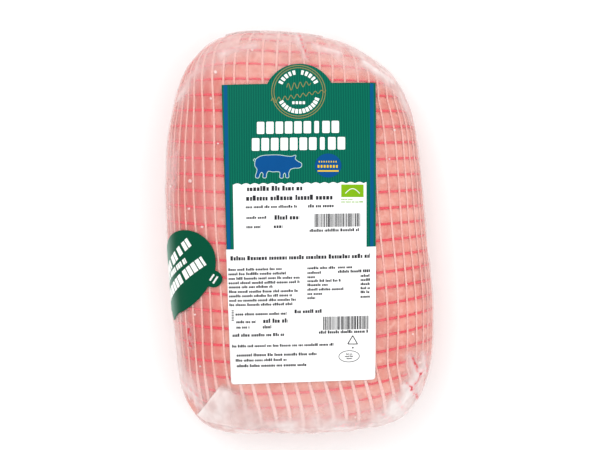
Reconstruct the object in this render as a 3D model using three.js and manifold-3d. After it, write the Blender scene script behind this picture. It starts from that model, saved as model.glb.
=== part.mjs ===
// A boneless ham in a tight elastic net, vacuum-packed in clear film, with a die-cut front label, a data
// label under it and an oval side sticker. It lies on its flat back: +Z is up, +Y runs along its length and
// the labels face +Z. The origin is the middle of the base of the whole pack. Lengths are in millimetres.
import * as THREE from "three";
import { mergeVertices } from "three/addons/utils/BufferGeometryUtils.js";
import Module from "manifold-3d";

const wasm = await Module();
wasm.setup();

// The pack's plan outline, counter-clockwise from the right side: narrower and rounder at the +Y end, with
// a sloping +X shoulder, and square-cornered at the -Y end.
const OUTLINE = [
  [60.5, 0], [57.5, 32], [53.5, 56], [43.5, 75], [22, 89.5], [-10, 95], [-36, 93], [-52.5, 80],
  [-61, 55], [-63.7, 22], [-61.5, -22], [-58.5, -55], [-54, -79], [-42, -92.5], [-10, -95.2],
  [28, -93.6], [50, -87], [60.8, -69], [63.8, -38],
];

// The pack's section: a flat back, a rounded foot up to the widest level, and a flattish crown above it.
const WIDEST_LEVEL = 22;
const CROWN_RISE = 31.5;
const CROWN_PLAN_POWER = 3.2;
const CROWN_RISE_POWER = 2.3;
const FLAT_BACK_SHARE = 0.62;
const FOOT_POWER = 0.85;

// Layers, each given by its depth under the film's outer face. A gap of TOUCH_GAP stands for two faces in
// contact.
const TOUCH_GAP = 0.3;
const FILM_THICKNESS = 0.3;
const NET_THICKNESS = 0.6;
const LABEL_THICKNESS = 0.25;
const NET_DEPTH = FILM_THICKNESS + TOUCH_GAP;
const HAM_DEPTH = NET_DEPTH + NET_THICKNESS + TOUCH_GAP;

// Fineness of the surfaces.
const AROUND = 56;
const FOOT_RINGS = 6;
const CROWN_RINGS = 10;
const CURVE_STEPS = 20;
const MERGE_DISTANCE = 1e-4;

// The net is a tube: a round mouth is left where it is drawn together at each end.
const NET_MOUTH_RADIUS = 9;
const NET_MOUTH_X = -6;

// The bag's own mouth is pressed flat at the +Y end, two lips face to face.
const BAG_MOUTH_WIDTH = 46;
const BAG_MOUTH_X = -12;

// The two labels, in plan, each from its top left corner clockwise. The front label has a round tab at its
// top, and the data label has rounded lower corners.
const FRONT_LABEL = [[-36, 68], [35, 69.2], [34.8, -6], [-34.3, -7.4]];
const FRONT_TAB = { x: 0, y: 61.7, radius: 16.4 };
const DATA_LABEL = [[-34.6, -7.8], [35.1, -6.4], [34.9, -67.8], [-31.6, -70]];
const DATA_CORNER = 1.4;

// The side sticker, in a plane tilted over the -X shoulder: an oval bubble with a pointed tail and a
// peeling tab.
const STICKER_TILT = THREE.MathUtils.degToRad(45);
const STICKER_CUT_START = 42;
const BUBBLE = { x: -12.2, y: -18.4, long: 22.5, short: 17.2, turn: THREE.MathUtils.degToRad(40) };
const TAIL = [[4.2, -24.2], [-7, -34.1], [-12.3, -36.8], [-19, -41.2], [-31, -25], [-12, -18]];
const PEEL_TAB = { x: 6.9, y: -21.3, radius: 4 };

const CUTTER_REACH = 90;

// A closed geometry as a manifold-3d solid.
function solidOf(geometry) {
  const bare = geometry.index ? geometry.toNonIndexed() : geometry.clone();
  for (const name of ["normal", "uv"]) bare.deleteAttribute(name);
  const merged = mergeVertices(bare, MERGE_DISTANCE);
  return new wasm.Manifold(new wasm.Mesh({
    numProp: 3,
    vertProperties: new Float32Array(merged.attributes.position.array),
    triVerts: new Uint32Array(merged.index.array),
  }));
}

// A manifold-3d solid as a three.js geometry.
function geometryOf(solid) {
  const { vertProperties, triVerts, numProp } = solid.getMesh();
  const position = new Float32Array((vertProperties.length / numProp) * 3);
  for (let i = 0; i < position.length / 3; i++) {
    position.set(vertProperties.subarray(i * numProp, i * numProp + 3), i * 3);
  }
  const geometry = new THREE.BufferGeometry();
  geometry.setAttribute("position", new THREE.BufferAttribute(position, 3));
  geometry.setIndex(new THREE.BufferAttribute(new Uint32Array(triVerts), 1));
  geometry.computeVertexNormals();
  return geometry;
}

// The outline as evenly spaced points with their outward normals.
function outlinePoints() {
  const points = OUTLINE.map(([x, y]) => new THREE.Vector3(x, y, 0));
  const curve = new THREE.CatmullRomCurve3(points, true, "centripetal");
  return Array.from({ length: AROUND }, (_, i) => {
    const tangent = curve.getTangentAt(i / AROUND);
    return { place: curve.getPointAt(i / AROUND), normal: new THREE.Vector3(tangent.y, -tangent.x, 0) };
  });
}
const PLAN = outlinePoints();

// The section at a depth under the film's face, from the rim of the flat back to the last ring of the
// crown, as pairs of plan scale and height.
function section(depth) {
  const foot = Array.from({ length: FOOT_RINGS }, (_, i) => {
    const angle = (i / FOOT_RINGS) * (Math.PI / 2);
    const scale = FLAT_BACK_SHARE + (1 - FLAT_BACK_SHARE) * Math.sin(angle) ** FOOT_POWER;
    return [scale, depth + (WIDEST_LEVEL - depth) * (1 - Math.cos(angle) ** FOOT_POWER)];
  });
  const crown = Array.from({ length: CROWN_RINGS }, (_, i) => {
    const angle = (i / CROWN_RINGS) * (Math.PI / 2);
    const scale = Math.cos(angle) ** (2 / CROWN_PLAN_POWER);
    return [scale, WIDEST_LEVEL + (CROWN_RISE - depth) * Math.sin(angle) ** (2 / CROWN_RISE_POWER)];
  });
  return [...foot, ...crown];
}

// The closed body inside the surface that lies at a depth under the film's face.
function bodyAt(depth) {
  const rings = section(depth);
  const position = [0, 0, depth];
  for (const [scale, height] of rings) {
    for (const { place, normal } of PLAN) {
      position.push(scale * (place.x - depth * normal.x), scale * (place.y - depth * normal.y), height);
    }
  }
  position.push(0, 0, WIDEST_LEVEL + CROWN_RISE - depth);
  const vertex = (ring, i) => 1 + ring * AROUND + (i % AROUND);
  const last = rings.length - 1;
  const crownCentre = 1 + rings.length * AROUND;
  const index = [];
  for (let i = 0; i < AROUND; i++) {
    index.push(0, vertex(0, i + 1), vertex(0, i));
    index.push(crownCentre, vertex(last, i), vertex(last, i + 1));
    for (let ring = 0; ring < last; ring++) {
      const [a, b] = [vertex(ring, i), vertex(ring, i + 1)];
      const [c, d] = [vertex(ring + 1, i), vertex(ring + 1, i + 1)];
      index.push(a, b, d, a, d, c);
    }
  }
  const geometry = new THREE.BufferGeometry();
  geometry.setAttribute("position", new THREE.Float32BufferAttribute(position, 3));
  geometry.setIndex(index);
  return geometry;
}

// The thin layer between two depths.
function layer(outerDepth, innerDepth) {
  return solidOf(bodyAt(outerDepth)).subtract(solidOf(bodyAt(innerDepth)));
}

// A flat outline pushed along its own +Z into a cutter, then placed by a matrix.
function prism(shape, placing) {
  const geometry = new THREE.ExtrudeGeometry(shape, {
    depth: CUTTER_REACH,
    bevelEnabled: false,
    curveSegments: CURVE_STEPS,
  });
  return solidOf(geometry.applyMatrix4(placing));
}

function ham() {
  return bodyAt(HAM_DEPTH);
}

// The net as the sleeve that its threads fill, open at both ends.
function netting() {
  let sleeve = layer(NET_DEPTH, NET_DEPTH + NET_THICKNESS);
  for (const end of [-1, 1]) {
    const mouth = new THREE.CylinderGeometry(
      NET_MOUTH_RADIUS, NET_MOUTH_RADIUS, CUTTER_REACH, CURVE_STEPS,
    );
    mouth.translate(NET_MOUTH_X, end * CUTTER_REACH, 0);
    mouth.translate(0, 0, WIDEST_LEVEL);
    sleeve = sleeve.subtract(solidOf(mouth));
  }
  return geometryOf(sleeve);
}

// The vacuum bag: one skin over the netted ham, with its flattened mouth at the +Y end.
function film() {
  const mouth = new THREE.BoxGeometry(BAG_MOUTH_WIDTH, CUTTER_REACH, TOUCH_GAP);
  mouth.translate(BAG_MOUTH_X, CUTTER_REACH, WIDEST_LEVEL);
  return geometryOf(layer(0, FILM_THICKNESS).subtract(solidOf(mouth)));
}

// The layer just outside the film in which the labels and the sticker lie.
const LABEL_LAYER = layer(-TOUCH_GAP - LABEL_THICKNESS, -TOUCH_GAP);

// A label lies in that layer wherever its plan outline falls on the crown.
function labelOf(shape) {
  const raised = new THREE.Matrix4().makeTranslation(0, 0, WIDEST_LEVEL);
  return LABEL_LAYER.intersect(prism(shape, raised));
}

function frontLabel() {
  const sheet = new THREE.Shape(FRONT_LABEL.map(([x, y]) => new THREE.Vector2(x, y)));
  const tab = new THREE.Shape();
  tab.absarc(FRONT_TAB.x, FRONT_TAB.y, FRONT_TAB.radius, 0, 2 * Math.PI, false);
  return geometryOf(labelOf(sheet).add(labelOf(tab)));
}

function dataLabel() {
  const [topLeft, topRight, lowRight, lowLeft] = DATA_LABEL;
  const shape = new THREE.Shape();
  shape.moveTo(...topLeft);
  shape.lineTo(lowLeft[0], lowLeft[1] + DATA_CORNER);
  shape.quadraticCurveTo(...lowLeft, lowLeft[0] + DATA_CORNER, lowLeft[1]);
  shape.lineTo(lowRight[0] - DATA_CORNER, lowRight[1]);
  shape.quadraticCurveTo(...lowRight, lowRight[0], lowRight[1] + DATA_CORNER);
  shape.lineTo(...topRight);
  return geometryOf(labelOf(shape));
}

function sideSticker() {
  const bubble = new THREE.Shape();
  bubble.absellipse(BUBBLE.x, BUBBLE.y, BUBBLE.long, BUBBLE.short, 0, 2 * Math.PI, false, BUBBLE.turn);
  const tail = new THREE.Shape(TAIL.map(([x, y]) => new THREE.Vector2(x, y)));
  const tab = new THREE.Shape();
  tab.absarc(PEEL_TAB.x, PEEL_TAB.y, PEEL_TAB.radius, 0, 2 * Math.PI, false);
  const tilted = new THREE.Matrix4().makeRotationY(-STICKER_TILT);
  tilted.multiply(new THREE.Matrix4().makeTranslation(0, 0, STICKER_CUT_START));
  const cutters = [bubble, tail, tab].map((shape) => prism(shape, tilted));
  const cutter = cutters.reduce((all, one) => all.add(one));
  return geometryOf(LABEL_LAYER.intersect(cutter));
}

// Finishes of the pieces.
const FINISHES = {
  ham: { color: 0xe9978a, roughness: 0.45 },
  netting: { color: 0xf3b9b4, roughness: 0.8 },
  film: { color: 0xf6dcd9, roughness: 0.15, transparent: true, opacity: 0.3 },
  frontLabel: { color: 0x14745f, roughness: 0.5 },
  dataLabel: { color: 0xf7f7f5, roughness: 0.5 },
  sticker: { color: 0x04684a, roughness: 0.4 },
};

function piece(name, geometry, finish) {
  const mesh = new THREE.Mesh(geometry, new THREE.MeshStandardMaterial({ metalness: 0, ...finish }));
  mesh.name = name;
  return mesh;
}

const pack = new THREE.Group();
pack.add(
  piece("ham", ham(), FINISHES.ham),
  piece("netting", netting(), FINISHES.netting),
  piece("vacuum_film", film(), FINISHES.film),
  piece("front_label", frontLabel(), FINISHES.frontLabel),
  piece("data_label", dataLabel(), FINISHES.dataLabel),
  piece("side_sticker", sideSticker(), FINISHES.sticker),
);

// The origin goes under the middle of the pack's box.
const box = new THREE.Box3().setFromObject(pack, true);
const middle = box.getCenter(new THREE.Vector3());
pack.position.set(-middle.x, -middle.y, -box.min.z);

export default pack;
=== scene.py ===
"""Dresses a netted, vacuum-packed smoked ham: meat, elastic net, film, labels and sticker."""
from __future__ import annotations

import logging
import math
import random
from dataclasses import dataclass, field
from enum import Enum
from typing import Callable, Sequence

import bmesh
import bpy
import numpy as np
from mathutils import Matrix, Vector, noise

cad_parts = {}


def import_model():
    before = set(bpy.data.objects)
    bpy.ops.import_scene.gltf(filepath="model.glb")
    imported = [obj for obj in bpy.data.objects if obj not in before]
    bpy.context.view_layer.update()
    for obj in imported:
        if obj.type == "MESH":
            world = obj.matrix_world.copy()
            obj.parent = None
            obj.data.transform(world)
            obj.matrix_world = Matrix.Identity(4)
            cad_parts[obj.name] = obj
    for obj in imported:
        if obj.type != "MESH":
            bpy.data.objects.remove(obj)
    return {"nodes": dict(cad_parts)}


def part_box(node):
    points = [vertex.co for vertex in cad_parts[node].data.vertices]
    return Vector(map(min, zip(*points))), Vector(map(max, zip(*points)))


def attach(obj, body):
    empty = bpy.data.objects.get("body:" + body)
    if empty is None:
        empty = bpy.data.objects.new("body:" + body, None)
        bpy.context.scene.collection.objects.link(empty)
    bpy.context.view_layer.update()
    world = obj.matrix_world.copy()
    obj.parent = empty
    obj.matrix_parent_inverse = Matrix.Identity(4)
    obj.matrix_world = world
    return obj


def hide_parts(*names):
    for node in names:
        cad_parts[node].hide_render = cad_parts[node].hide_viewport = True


log = logging.getLogger("ham")

MM = 0.001
TAU = 2 * math.pi
MERGE = 0.002 * MM
Array = np.ndarray
Point = tuple[float, float]
UP = [0.0, 0.0, 1.0]
AHEAD = [0.0, 1.0, 0.0]


# --- The pack's form -------------------------------------------------------------------------


def closed_curve(points: Sequence[Point], steps: int) -> Array:
    """Runs a closed centripetal spline through a few points.

    Args:
        points: The points, in order.
        steps: How many places to give between two points.

    Returns:
        The places along the curve, one row each.
    """
    given = np.array(points, float)
    count = len(given)
    share = np.linspace(0, 1, steps, endpoint=False)[:, None]
    runs = []
    for index in range(count):
        before, start, end, after = (given[(index + shift) % count] for shift in (-1, 0, 1, 2))
        gaps = [math.sqrt(np.linalg.norm(b - a)) for a, b in ((before, start), (start, end), (end, after))]
        leave = (start - before) / gaps[0] - (end - before) / (gaps[0] + gaps[1]) + (end - start) / gaps[1]
        arrive = (end - start) / gaps[1] - (after - start) / (gaps[1] + gaps[2]) + (after - end) / gaps[2]
        leave, arrive = leave * gaps[1], arrive * gaps[1]
        square = -3 * start + 3 * end - 2 * leave - arrive
        cube = 2 * start - 2 * end + leave + arrive
        runs.append(start + leave * share + square * share**2 + cube * share**3)
    return np.concatenate(runs)


@dataclass
class PackForm:
    """The outer face of the film, as a rounded loaf over a plan outline. Lengths are in metres.

    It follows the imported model: the outline is fitted to the film's box.
    """

    low: Vector
    high: Vector
    outline: Sequence[Point] = (
        (60.5, 0), (57.5, 32), (53.5, 56), (43.5, 75), (22, 89.5), (-10, 95), (-36, 93), (-52.5, 80),
        (-61, 55), (-63.7, 22), (-61.5, -22), (-58.5, -55), (-54, -79), (-42, -92.5), (-10, -95.2),
        (28, -93.6), (50, -87), (60.8, -69), (63.8, -38),
    )
    widest_share: float = 22 / 53.5
    plan_power: float = 3.2
    rise_power: float = 2.3
    flat_share: float = 0.62
    foot_power: float = 0.85
    outline_steps: int = 40
    halvings: int = 34
    edge: Array = field(init=False, repr=False)

    def __post_init__(self) -> None:
        """Fits the outline to the box."""
        edge = closed_curve(self.outline, self.outline_steps)
        low, high = edge.min(0), edge.max(0)
        box_low, box_high = np.array(self.low)[:2], np.array(self.high)[:2]
        self.edge = box_low + (edge - low) / (high - low) * (box_high - box_low)
        angle = np.arctan2(self.edge[:, 1], self.edge[:, 0])
        order = np.argsort(angle)
        self._angle, self._radius = angle[order], np.hypot(*self.edge.T)[order]
        self.widest = self.high.z * self.widest_share
        self.rise = self.high.z - self.widest

    def plan_reach(self, x: Array, y: Array) -> Array:
        """Gives how far out a place lies in plan, as a share of the outline."""
        return np.hypot(x, y) / np.interp(np.arctan2(y, x), self._angle, self._radius, period=TAU)

    def field(self, x: Array, y: Array, z: Array) -> Array:
        """Gives a value that is below 0 inside the film's face and above 0 outside.

        Args:
            x: The places' x.
            y: The places' y.
            z: The places' height.

        Returns:
            One value for each place.
        """
        reach = self.plan_reach(x, y)
        up = np.clip((z - self.widest) / self.rise, 0, None)
        crown = reach**self.plan_power + up**self.rise_power - 1
        down = np.clip(1 - z / self.widest, 0, 1)
        turn = np.sqrt(np.clip(1 - down ** (2 / self.foot_power), 0, 1))
        foot = reach - self.flat_share - (1 - self.flat_share) * turn**self.foot_power
        return np.where(z >= self.widest, crown, np.where(z < 0, 1.0, foot))

    def meet(self, start: Array, way: Array, reach: float = 0.12) -> Array:
        """Finds where straight lines that start inside leave the form.

        Args:
            start: A place inside the form for each line.
            way: The direction of each line, of length 1.
            reach: The longest that a line may be.

        Returns:
            The places on the film's face.
        """
        near, far = np.zeros(len(start)), np.full(len(start), reach)
        for _ in range(self.halvings):
            middle = (near + far) / 2
            inside = self.field(*(start + way * middle[:, None]).T) < 0
            near, far = np.where(inside, middle, near), np.where(inside, far, middle)
        return start + way * near[:, None]

    def normal(self, place: Array, step: float = 2e-5) -> Array:
        """Gives the outward normals at places on the film's face.

        Args:
            place: The places.
            step: How far to either side the form is read.

        Returns:
            The normals, of length 1.
        """
        slopes = []
        for axis in range(3):
            shift = np.zeros(3)
            shift[axis] = step
            slopes.append(self.field(*(place + shift).T) - self.field(*(place - shift).T))
        slope = np.stack(slopes, 1)
        return slope / np.linalg.norm(slope, axis=1, keepdims=True)


@dataclass
class TubeMap:
    """The form seen as a tube along Y, the way a net sleeve lies on it.

    A place is given by its length along the tube's top, from the -Y end, and by its turn, the share of the
    way round the tube from the +X side over the top. Each end closes in a low seam that runs across, so that
    lines along the top go on over the edge and meet the lines of the underside there. For the -Y and the +Y
    end, keeps is how much of its width the seam keeps, and dips is how low it lies, in degrees.
    """

    form: PackForm
    straight: float = 62 * MM
    slices: int = 168
    end_rings: int = 76
    closing: float = 0.993
    keeps: tuple[float, float] = (0.86, 0.6)
    dips: tuple[float, float] = (26.0, 22.0)
    turns: int = 480
    fine: int = 4

    def __post_init__(self) -> None:
        """Measures the form on a fine grid."""
        edge = self.form.edge
        top, bottom = edge[:, 1].argmax(), edge[:, 1].argmin()
        span = (top - bottom) % len(edge) + 1
        right = np.roll(edge, -bottom, axis=0)[:span]
        left = np.roll(edge, -top, axis=0)[: len(edge) - span + 2][::-1]
        y = np.linspace(-self.straight, self.straight, self.slices)
        middle = (np.interp(y, right[:, 1], right[:, 0]) + np.interp(y, left[:, 1], left[:, 0])) / 2
        body = np.stack([self._cut(x, place) for x, place in zip(middle, y)])
        low = self._end(body[0], middle[0], self.keeps[0], self.dips[0], -1)
        high = self._end(body[-1], middle[-1], self.keeps[1], self.dips[1], 1)
        self.place = np.concatenate([low[::-1], body, high])
        ridge = self.place[:, self.turns // 4]
        self.run = np.concatenate([[0], np.cumsum(np.linalg.norm(np.diff(ridge, axis=0), axis=1))])
        self.length = self.run[-1]
        closed = np.concatenate([self.place, self.place[:, :1]], 1)
        self.girth = np.linalg.norm(np.diff(closed, axis=1), axis=2).sum(1)
        along = np.gradient(self.place, axis=0)
        around = closed[:, 1:] - np.roll(self.place, 1, axis=1)
        normal = np.cross(along, around)
        self.normal = normal / np.maximum(np.linalg.norm(normal, axis=2, keepdims=True), 1e-12)

    def _cut(self, x: float, y: float) -> Array:
        """Gives evenly spaced places round the cut at y, from a middle at x.

        Args:
            x: The middle's x.
            y: The cut's y.

        Returns:
            The places, from the +X side over the top.
        """
        def ring(angle: Array) -> Array:
            """Gives the places that rays in the cut's plane meet."""
            way = np.stack([np.cos(angle), np.zeros(len(angle)), np.sin(angle)], 1)
            return self.form.meet(np.tile([x, y, self.form.widest], (len(angle), 1)), way)

        angle = np.linspace(0, TAU, self.fine * self.turns + 1)
        run = np.concatenate([[0], np.cumsum(np.linalg.norm(np.diff(ring(angle), axis=0), axis=1))])
        return ring(np.interp(np.arange(self.turns) / self.turns * run[-1], run, angle))

    def _end(self, cut: Array, x: float, keep: float, dip: float, side: int) -> Array:
        """Closes one end.

        Args:
            cut: The last straight cut.
            x: The cut's middle.
            keep: How much of their distance from the middle lines keep at the seam.
            dip: How low the seam lies, as an angle in degrees.
            side: Which end it is, -1 or 1.

        Returns:
            The rings from the cut to the seam.
        """
        start = np.stack([x + keep * (cut[:, 0] - x), cut[:, 1], np.full(len(cut), self.form.widest)], 1)
        level = cut - start
        level /= np.linalg.norm(level, axis=1, keepdims=True)
        pole = np.array([0.0, side * math.cos(math.radians(dip)), -math.sin(math.radians(dip))])
        between = np.arccos(level @ pole)[:, None]
        rings = []
        for share in np.linspace(0, self.closing, self.end_rings + 1)[1:]:
            way = (np.sin((1 - share) * between) * level + np.sin(share * between) * pole) / np.sin(between)
            rings.append(self.form.meet(start, way))
        return np.stack(rings)

    def _sample(self, table: Array, along: Array, turn: Array) -> Array:
        """Reads a table of the grid between its points.

        Args:
            table: A value or vector for each point of the grid.
            along: The lengths along the tube.
            turn: The turns.

        Returns:
            The table's values there.
        """
        row = np.interp(along, self.run, np.arange(len(self.run)))
        low = np.minimum(row.astype(int), len(self.run) - 2)
        column = (turn % 1) * self.turns
        left = column.astype(int) % self.turns
        right = (left + 1) % self.turns
        down, across = (row - low)[:, None], (column - np.floor(column))[:, None]
        first = table[low, left] * (1 - across) + table[low, right] * across
        second = table[low + 1, left] * (1 - across) + table[low + 1, right] * across
        return first * (1 - down) + second * down

    def at(self, along: Array, turn: Array, depth: Array | float) -> Array:
        """Gives the places at a depth under the film's face.

        Args:
            along: The lengths along the tube.
            turn: The turns.
            depth: The depths.

        Returns:
            The places.
        """
        normal = self._sample(self.normal, along, turn)
        normal /= np.linalg.norm(normal, axis=1, keepdims=True)
        return self._sample(self.place, along, turn) - normal * np.asarray(depth).reshape(-1, 1)

    def girth_at(self, along: Array) -> Array:
        """Gives the length round the tube."""
        return np.interp(along, self.run, self.girth)

    def straight_girth_at(self, along: Array) -> Array:
        """Gives the length round the tube, or round its last straight cut over the ends."""
        first, last = self.run[self.end_rings], self.run[-self.end_rings - 1]
        return self.girth_at(np.clip(along, first, last))

    def length_at(self, y: float) -> float:
        """Gives the length along the tube at which its ridge passes a y."""
        return float(np.interp(y, self.place[:, self.turns // 4, 1], self.run))

    def from_end(self, along: Array) -> Array:
        """Gives the length to the nearer end."""
        return np.minimum(along, self.length - along)


@dataclass
class NetPlan:
    """Where the net's lengthwise strands and crosswise threads run on the tube."""

    tube: TubeMap
    strands: int = 56
    pitch: float = 7.75 * MM
    strand_through: Point = (0.5 * MM, -79 * MM)
    thread_through: float = -74.6 * MM
    half_width: float = 64 * MM
    spread_base: float = 0.22
    lean: float = 0.018
    spread_limit: float = 0.6
    lean_rows: tuple[float, float] = (-52 * MM, -90 * MM)
    sag: float = 4.2 * MM
    sag_growth: float = 0.042
    tilt: float = 0.9 * MM
    tilt_growth: float = 0.056
    lift_end: float = 26 * MM
    lift_reach: float = 60 * MM
    tilt_stop: float = 15 * MM
    top_turns: tuple[float, float, int] = (0.15, 0.35, 400)
    rounds: int = 6
    thread_rounds: int = 3
    phase: float = field(init=False, default=0.0)

    def __post_init__(self) -> None:
        """Sets the net so that a strand and a thread pass through known places."""
        self.first = self.tube.length_at(self.thread_through) % self.pitch
        x, y = self.strand_through
        turn = np.linspace(*self.top_turns)
        along = np.full(len(turn), self.tube.length_at(y))
        place = self.tube.at(along, turn, 0.0)
        self.phase = float(np.interp(-x, -place[:, 0], self.number_of(turn, along))) % 1

    def spread(self, along: Array) -> Array:
        """Gives how much wider the strands stand on the flat faces than on the sides.

        Args:
            along: The lengths along the tube.

        Returns:
            The spread, 0 where the strands stand evenly.
        """
        middle = self.tube.girth.max()
        narrowed = middle / self.tube.straight_girth_at(along) - 1
        return np.clip(self.spread_base + narrowed, 0, self.spread_limit)

    def drift(self, along: Array) -> Array:
        """Gives how far the strands lean over towards +X, near the -Y end."""
        start, full = (-self.tube.length_at(row) for row in self.lean_rows)
        return self.lean * smooth_step(-along, start, full)

    def turn_of(self, number: Array, along: Array) -> Array:
        """Gives the turn at which a strand lies, from its number."""
        even = (number + self.phase) / self.strands - self.drift(along)
        return even - self.spread(along) * np.sin(2 * TAU * even) / (2 * TAU)

    def number_of(self, turn: Array, along: Array) -> Array:
        """Gives the strand number at a turn, with a fraction between two strands.

        Args:
            turn: The turns.
            along: The lengths along the tube.

        Returns:
            The numbers.
        """
        even = turn.copy()
        for _ in range(self.rounds):
            even = turn + self.spread(along) * np.sin(2 * TAU * even) / (2 * TAU)
        return (even + self.drift(along)) * self.strands - self.phase

    def lift(self, along: Array, turn: Array) -> Array:
        """Gives how far towards +Y a thread stands above its middle, where it passes a place.

        The threads sag in the middle, more so towards the -Y end, where they also rise to the +X side.

        Args:
            along: The lengths along the tube.
            turn: The turns.

        Returns:
            The lifts.
        """
        across = self.tube.at(along, turn, 0.0)[:, 0] / self.half_width
        up = np.clip(along - self.tube.length / 2, -self.lift_reach, self.lift_reach)
        fade = smooth_step(self.tube.from_end(along), 0.0, self.lift_end)
        slope = self.tilt - self.tilt_growth * np.minimum(up, self.tilt_stop)
        return ((self.sag - self.sag_growth * up) * across**2 + slope * across) * fade

    def thread_count(self) -> int:
        """Gives how many threads fit along the tube."""
        return int((self.tube.length - self.first) / self.pitch) + 1

    def thread_path(self, index: int, turn: Array) -> Array:
        """Gives the length along the tube at which a thread lies at each turn.

        Args:
            index: The thread's number.
            turn: The turns.

        Returns:
            The lengths.
        """
        middle = np.full(len(turn), self.first + index * self.pitch)
        along = middle.copy()
        for _ in range(self.thread_rounds):
            along = middle + self.lift(along, turn)
        return along

    def thread_number(self, along: Array, turn: Array) -> Array:
        """Gives the thread number at a place, with a fraction between two threads."""
        return (along - self.lift(along, turn) - self.first) / self.pitch


# --- Meshes ----------------------------------------------------------------------------------


def mapped_grid(columns: int, rows: int, place: Callable[[Array, Array], Array],
                marks: dict[str, Callable[[Array, Array], Array]] | None = None) -> bmesh.types.BMesh:
    """Lays a flat grid over a surface.

    Args:
        columns: How many faces there are along the grid's first direction.
        rows: How many faces there are along its second direction.
        place: Gives the places of the grid's points from their two shares, 0 to 1.
        marks: Gives values to keep on the points, by name, from the same shares.

    Returns:
        The grid, with its doubled points merged.
    """
    mesh = bmesh.new()
    bmesh.ops.create_grid(mesh, x_segments=columns, y_segments=rows, size=1.0)
    share = (np.array([vert.co[:2] for vert in mesh.verts]) + 1) / 2
    where = place(share[:, 0], share[:, 1])
    for name, rule in (marks or {}).items():
        layer = mesh.verts.layers.float.new(name)
        for vert, value in zip(mesh.verts, rule(share[:, 0], share[:, 1])):
            vert[layer] = value
    for vert, spot in zip(mesh.verts, where):
        vert.co = spot
    bmesh.ops.remove_doubles(mesh, verts=mesh.verts, dist=MERGE)
    return mesh


def close_ends(mesh: bmesh.types.BMesh) -> None:
    """Closes every open rim and turns the faces outwards.

    Args:
        mesh: The mesh.
    """
    rims = [edge for edge in mesh.edges if edge.is_boundary]
    if rims:
        bmesh.ops.holes_fill(mesh, edges=rims, sides=0)
    bmesh.ops.recalc_face_normals(mesh, faces=mesh.faces)


def thicken(mesh: bmesh.types.BMesh, wall: float) -> None:
    """Gives an open flap a wall and turns its faces outwards.

    Args:
        mesh: The flap.
        wall: The wall's thickness.
    """
    bmesh.ops.recalc_face_normals(mesh, faces=mesh.faces)
    bmesh.ops.solidify(mesh, geom=mesh.faces[:], thickness=wall)
    bmesh.ops.recalc_face_normals(mesh, faces=mesh.faces)


def to_object(mesh: bmesh.types.BMesh, name: str, material: bpy.types.Material,
              smooth: bool = True) -> bpy.types.Object:
    """Makes an object of a finished mesh.

    Args:
        mesh: The mesh, which is freed.
        name: The piece's name.
        material: The piece's finish.
        smooth: Whether its faces are shaded smooth.

    Returns:
        The object, in the scene.
    """
    data = bpy.data.meshes.new(name)
    mesh.to_mesh(data)
    mesh.free()
    data.polygons.foreach_set("use_smooth", [smooth] * len(data.polygons))
    data.materials.append(material)
    item = bpy.data.objects.new(name, data)
    bpy.context.scene.collection.objects.link(item)
    return item


def add_piece(item: bpy.types.Object, node: str) -> None:
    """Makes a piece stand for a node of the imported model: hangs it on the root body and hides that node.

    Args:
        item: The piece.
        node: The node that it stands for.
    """
    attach(item, "root")
    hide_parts(node)
    log.info("%s: %d faces, stands for %s", item.name, len(item.data.polygons), node)


def ripple(place: Array, scale: float, octaves: int, seed: float) -> Array:
    """Gives smooth noise, about -1 to 1, at places.

    Args:
        place: The places, in metres.
        scale: The size of the largest ripple, in metres.
        octaves: How many finer layers there are.
        seed: Shifts the noise so that two uses differ.

    Returns:
        One value for each place.
    """
    moved = place / scale + seed
    return np.array([noise.fractal(Vector(spot), 1.0, 2.0, octaves) for spot in moved])


def smooth_step(value: Array, low: float, high: float) -> Array:
    """Rises smoothly from 0 at low to 1 at high."""
    share = np.clip((value - low) / (high - low), 0, 1)
    return share * share * (3 - 2 * share)


# --- Shader maths ----------------------------------------------------------------------------

# The Mix node's sockets for colours, which share their names with its sockets for numbers.
MIX_SHARE, MIX_FIRST, MIX_SECOND, MIX_COLOR = 0, 6, 7, 2


class Signal:
    """An output of a shader's node. On a number, Python's operators add Math nodes."""

    def __init__(self, graph: "Graph", socket: bpy.types.NodeSocket | None) -> None:
        """Wraps a socket."""
        self.graph = graph
        self.socket = socket

    def _math(self, operation: str, *values: "Signal | float", clamp: bool = False) -> "Signal":
        """Adds one Math node."""
        return self.graph.node("ShaderNodeMath", {"operation": operation, "use_clamp": clamp}, list(values))

    def __add__(self, other: "Signal | float") -> "Signal":
        """Adds."""
        return self._math("ADD", self, other)

    def __radd__(self, other: float) -> "Signal":
        """Adds, from the right."""
        return self._math("ADD", other, self)

    def __sub__(self, other: "Signal | float") -> "Signal":
        """Subtracts."""
        return self._math("SUBTRACT", self, other)

    def __rsub__(self, other: float) -> "Signal":
        """Subtracts, from the right."""
        return self._math("SUBTRACT", other, self)

    def __mul__(self, other: "Signal | float") -> "Signal":
        """Multiplies."""
        return self._math("MULTIPLY", self, other)

    def __rmul__(self, other: float) -> "Signal":
        """Multiplies, from the right."""
        return self._math("MULTIPLY", other, self)

    def clamped(self) -> "Signal":
        """Keeps the number between 0 and 1."""
        return self._math("ADD", self, 0.0, clamp=True)

    def sine(self) -> "Signal":
        """Takes the sine."""
        return self._math("SINE", self)

    def over(self, low: float, high: float) -> "Signal":
        """Rises smoothly from 0 at low to 1 at high.

        Args:
            low: The number that gives 0.
            high: The number that gives 1.

        Returns:
            The rise.
        """
        return self.graph.node("ShaderNodeMapRange", {"interpolation_type": "SMOOTHSTEP"}, {
            "Value": self, "From Min": low, "From Max": high,
        })


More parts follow.
